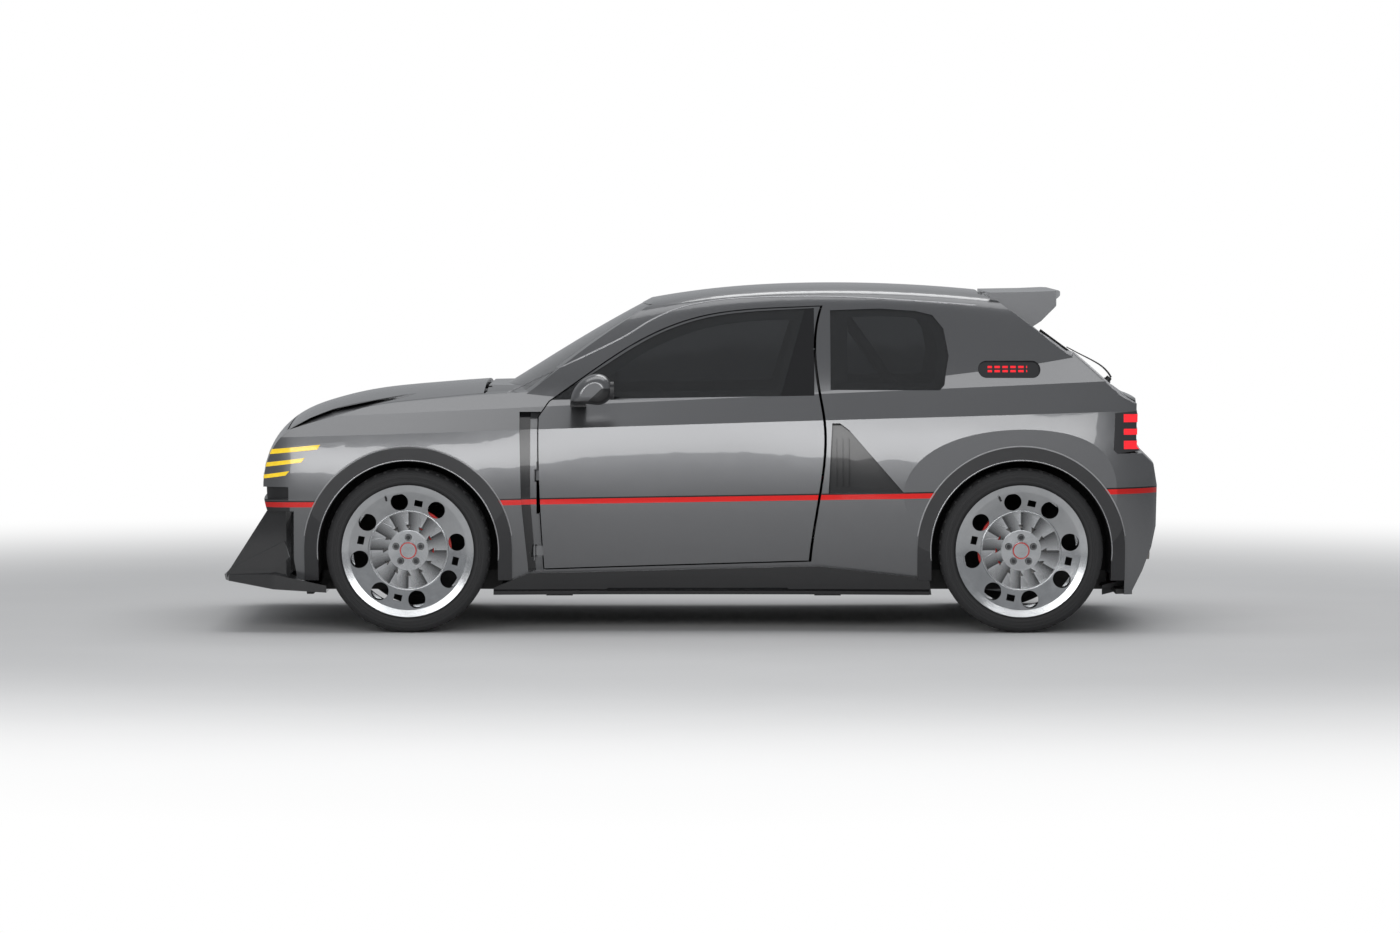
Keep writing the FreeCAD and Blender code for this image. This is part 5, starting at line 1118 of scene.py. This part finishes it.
def inflate(obj):
    """Blows a pad up with the cloth solver, its base held, and caps how far a point moves."""
    scene = bpy.context.scene
    start = [vertex.co.copy() for vertex in obj.data.vertices]
    held = obj.vertex_groups.new(name="held")
    held.add([i for i, co in enumerate(start) if co.z < PAD_HELD], 1.0, "REPLACE")
    cloth = obj.modifiers.new("cloth", "CLOTH")
    cloth.settings.vertex_group_mass = "held"
    cloth.settings.use_pressure = True
    cloth.settings.uniform_pressure_force = PAD_PRESSURE
    cloth.settings.effector_weights.gravity = 0.0
    cloth.settings.quality = 5
    cloth.settings.mass = PAD_MASS
    cloth.collision_settings.use_collision = False
    cloth.point_cache.frame_start = 1
    cloth.point_cache.frame_end = PAD_FRAMES
    for frame_number in range(1, PAD_FRAMES + 1):
        scene.frame_set(frame_number)
    depsgraph = bpy.context.evaluated_depsgraph_get()
    blown = [vertex.co.copy() for vertex in obj.evaluated_get(depsgraph).data.vertices]
    obj.modifiers.clear()
    scene.frame_set(1)
    furthest = 0.0
    for vertex, before, after in zip(obj.data.vertices, start, blown):
        move = after - before
        furthest = max(furthest, move.length)
        if move.length > PAD_CAP:
            move = move.normalized() * PAD_CAP
        move.z = max(move.z, PAD_STAND - before.z)
        vertex.co = before + move
    print(obj.name, "points", len(start), "furthest move", round(furthest, 4))


def press_seams(mesh, length, channels):
    """Sewn channels across the pad, two seams along it, and a seam round its top edge."""
    top = max(vertex.co.z for vertex in mesh.vertices)
    for vertex in mesh.vertices:
        x, y, z = vertex.co
        high = smoothstep((z - top * SEAM_START) / (top * SEAM_RUN))
        inner = smoothstep((LENGTHWAYS - abs(y)) / SEAM_FADE)
        across = max(dent(x - length * share, CHANNEL_WIDTH) for share in channels) * inner
        vertex.co.z = z - SEAM_DEPTH * max(across, dent(abs(y) - LENGTHWAYS, SEAM_WIDTH)) * high
        from_middle = Vector((x - length / 2, y, 0))
        if from_middle.length > ROUND_CLEAR:
            vertex.co -= from_middle.normalized() * ROUND_DEPTH * dent(z - top * ROUND_LEVEL, ROUND_WIDTH)


def pad_mesh(name):
    """One pad's mesh in its own measures."""
    base, tip, run, channels = PAD_PLACES[name]
    length = (tip - base).length * (run[1] - run[0])
    bm = slab(length)
    mesh = bpy.data.meshes.new("pad_" + name)
    bm.to_mesh(mesh)
    bm.free()
    obj = placed("pad_" + name, mesh)
    remesh = obj.modifiers.new("remesh", "REMESH")
    remesh.mode = "VOXEL"
    remesh.voxel_size = PAD_VOXEL
    applied(obj)
    inflate(obj)
    subdivision = obj.modifiers.new("subdivision", "SUBSURF")
    subdivision.levels = subdivision.render_levels = 1
    mesh = applied(obj)
    press_seams(mesh, length, channels)
    bpy.data.objects.remove(obj)
    return mesh


def pad_piece(mesh, name, side):
    """A pad set in its seat."""
    base, tip, run, _ = PAD_PLACES[name]
    ahead = (tip - base).normalized()
    off = Vector((-ahead.z, 0.0, ahead.x))
    begin = base + (tip - base) * run[0]
    bm = bmesh.new()
    bm.from_mesh(mesh)
    for vert in bm.verts:
        x, y, z = vert.co
        vert.co = begin + ahead * x + off * z + Vector((0, OUTWARD[side] * (SEAT_HALF - y), 0))
    made = piece("seat_" + name + "_" + side, bm, "seat_cloth", "body_shell")
    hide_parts("seat_pads")
    return made


for name in PAD_PLACES:
    mesh = pad_mesh(name)
    for side in OUTWARD:
        made = pad_piece(mesh, name, side)
        corners = [[round(pick(v.co[axis] for v in made.data.vertices), 3) for axis in range(3)]
                   for pick in (min, max)]
        print(made.name, "faces", len(made.data.polygons), "box", corners)

# %% [markdown]
# Each wheel has a valve stem in its dish. The place is found by a ray, so the stem stands on the
# metal of the rim: where a ray falls through a hole, the next angle is tried.
# %% Valve stems
VALVE_RADIUS = 0.236
VALVE_LEAD = 112.5
VALVE_STEP = 3
VALVE_TILT = 0.35
RIM_TILT = 0.3
VALVE_STACK = (
    (-0.004, 0.0062, 0.0042, 0.010, 18), (0.006, 0.0034, 0.0034, 0.014, 14),
    (0.016, 0.0046, 0.0046, 0.009, 12))


def valve_place(tag, sign):
    """The first point of solid rim from the leading angle on, and the direction to the axle."""
    rim_skin = skin_of("rim_" + tag)
    for turn in range(0, 360, VALVE_STEP):
        place = about_axle(axles[tag], sign, math.radians(VALVE_LEAD + turn), VALVE_RADIUS, 0.0)
        hit, normal = from_side(rim_skin, place.x, place.z, sign)
        if hit is not None and abs(normal.y) > RIM_TILT:
            return hit, (axles[tag] - place).normalized()
    return None, None


for tag, side in WHEELS:
    hit, inward = valve_place(tag, OUTWARD[side])
    bm = bmesh.new()
    stacked(bm, hit, (inward * VALVE_TILT + Vector((0, OUTWARD[side], 0))).normalized(), VALVE_STACK)
    piece("valve_stem_" + tag, bm, "wiper_rubber", "wheel_" + tag, sharp=35)
print("valve stems, the last at", [round(value, 3) for value in hit])

# %% [markdown]
# The studio is a pale floor lit by wide soft lamps. Rays from the camera, and those that pass
# through glass, see a white room; reflections see a dimmer one, so that the lamps show on the
# paint. The floor fades to the same white a few metres away, and so no horizon is seen.
# %% Floor and light
FLOOR_REACH = 60.0
FLOOR_FADE = (3.2, 8.5)
FLOOR_DARK = (0.68, 0.68, 0.68)
FLOOR_LIGHT = (0.72, 0.72, 0.72)
FLOOR_PLAIN = (0.70, 0.70, 0.70)
WHITE = (1, 1, 1, 1)
ROOM_COLOUR = (0.80, 0.82, 0.85, 1)
ROOM_STRENGTH = 0.42


def mixed_shaders(share, first, second, end):
    """Two shaders mixed by a share and linked to the surface of an output node."""
    tree = share.owner.node_tree
    mixer = add(share.owner, "ShaderNodeMixShader")
    link(share, mixer.inputs[0])
    tree.links.new(first.outputs[0], mixer.inputs[1])
    tree.links.new(second.outputs[0], mixer.inputs[2])
    tree.links.new(mixer.outputs[0], tree.nodes[end].inputs["Surface"])


bm = bmesh.new()
bmesh.ops.create_grid(bm, x_segments=2, y_segments=2, size=FLOOR_REACH)
mesh = bpy.data.meshes.new("studio_floor")
bm.to_mesh(mesh)
bm.free()
floor = placed("studio_floor", mesh)
pale = finish("studio_floor", FLOOR_PLAIN, roughness=0.85)
feed(pale, Base_Color=blend_colours(noise(pale, 1.4, detail=2.0), FLOOR_DARK, FLOOR_LIGHT))
fade = add(pale, "ShaderNodeMapRange", interpolation_type="SMOOTHSTEP",
           From_Min=FLOOR_FADE[0], From_Max=FLOOR_FADE[1])
link(length_of(place_of(pale)), fade.inputs["Value"])
eye = Reading(pale, add(pale, "ShaderNodeLightPath").outputs["Is Camera Ray"])
mixed_shaders(Reading(pale, fade.outputs["Result"]) * eye, shader_of(pale),
              add(pale, "ShaderNodeEmission", Color=WHITE), "Material Output")
mesh.materials.append(pale)

world = bpy.data.worlds.new("studio")
bpy.context.scene.world = world
world.use_nodes = True
room = world.node_tree.nodes["Background"]
room.inputs["Color"].default_value = ROOM_COLOUR
room.inputs["Strength"].default_value = ROOM_STRENGTH
path = add(world, "ShaderNodeLightPath")
seen, through = [Reading(world, path.outputs[name]) for name in ("Is Camera Ray", "Is Transmission Ray")]
mixed_shaders(seen.worked("MAXIMUM", through), room,
              add(world, "ShaderNodeBackground", Color=WHITE, Strength=1.0), "World Output")


def soft_lamp(name, place, aim, size, power):
    """A wide area lamp that looks at a point."""
    data = bpy.data.lights.new(name, "AREA")
    data.shape = "RECTANGLE"
    data.size, data.size_y = size
    data.energy = power
    aimed(placed(name, data), place, aim)


soft_lamp("overhead", (0.0, 0.0, 6.0), (0, 0, 0), (8.0, 3.5), 120)
soft_lamp("near_side", (-1.0, -8.0, 2.6), (0, 0, 0.6), (9.0, 1.8), 240)
soft_lamp("far_side", (2.0, 4.5, 6.5), (0, 0, 0.6), (6.0, 2.5), 110)
bpy.context.scene.view_settings.view_transform = "Standard"
print("studio set up")
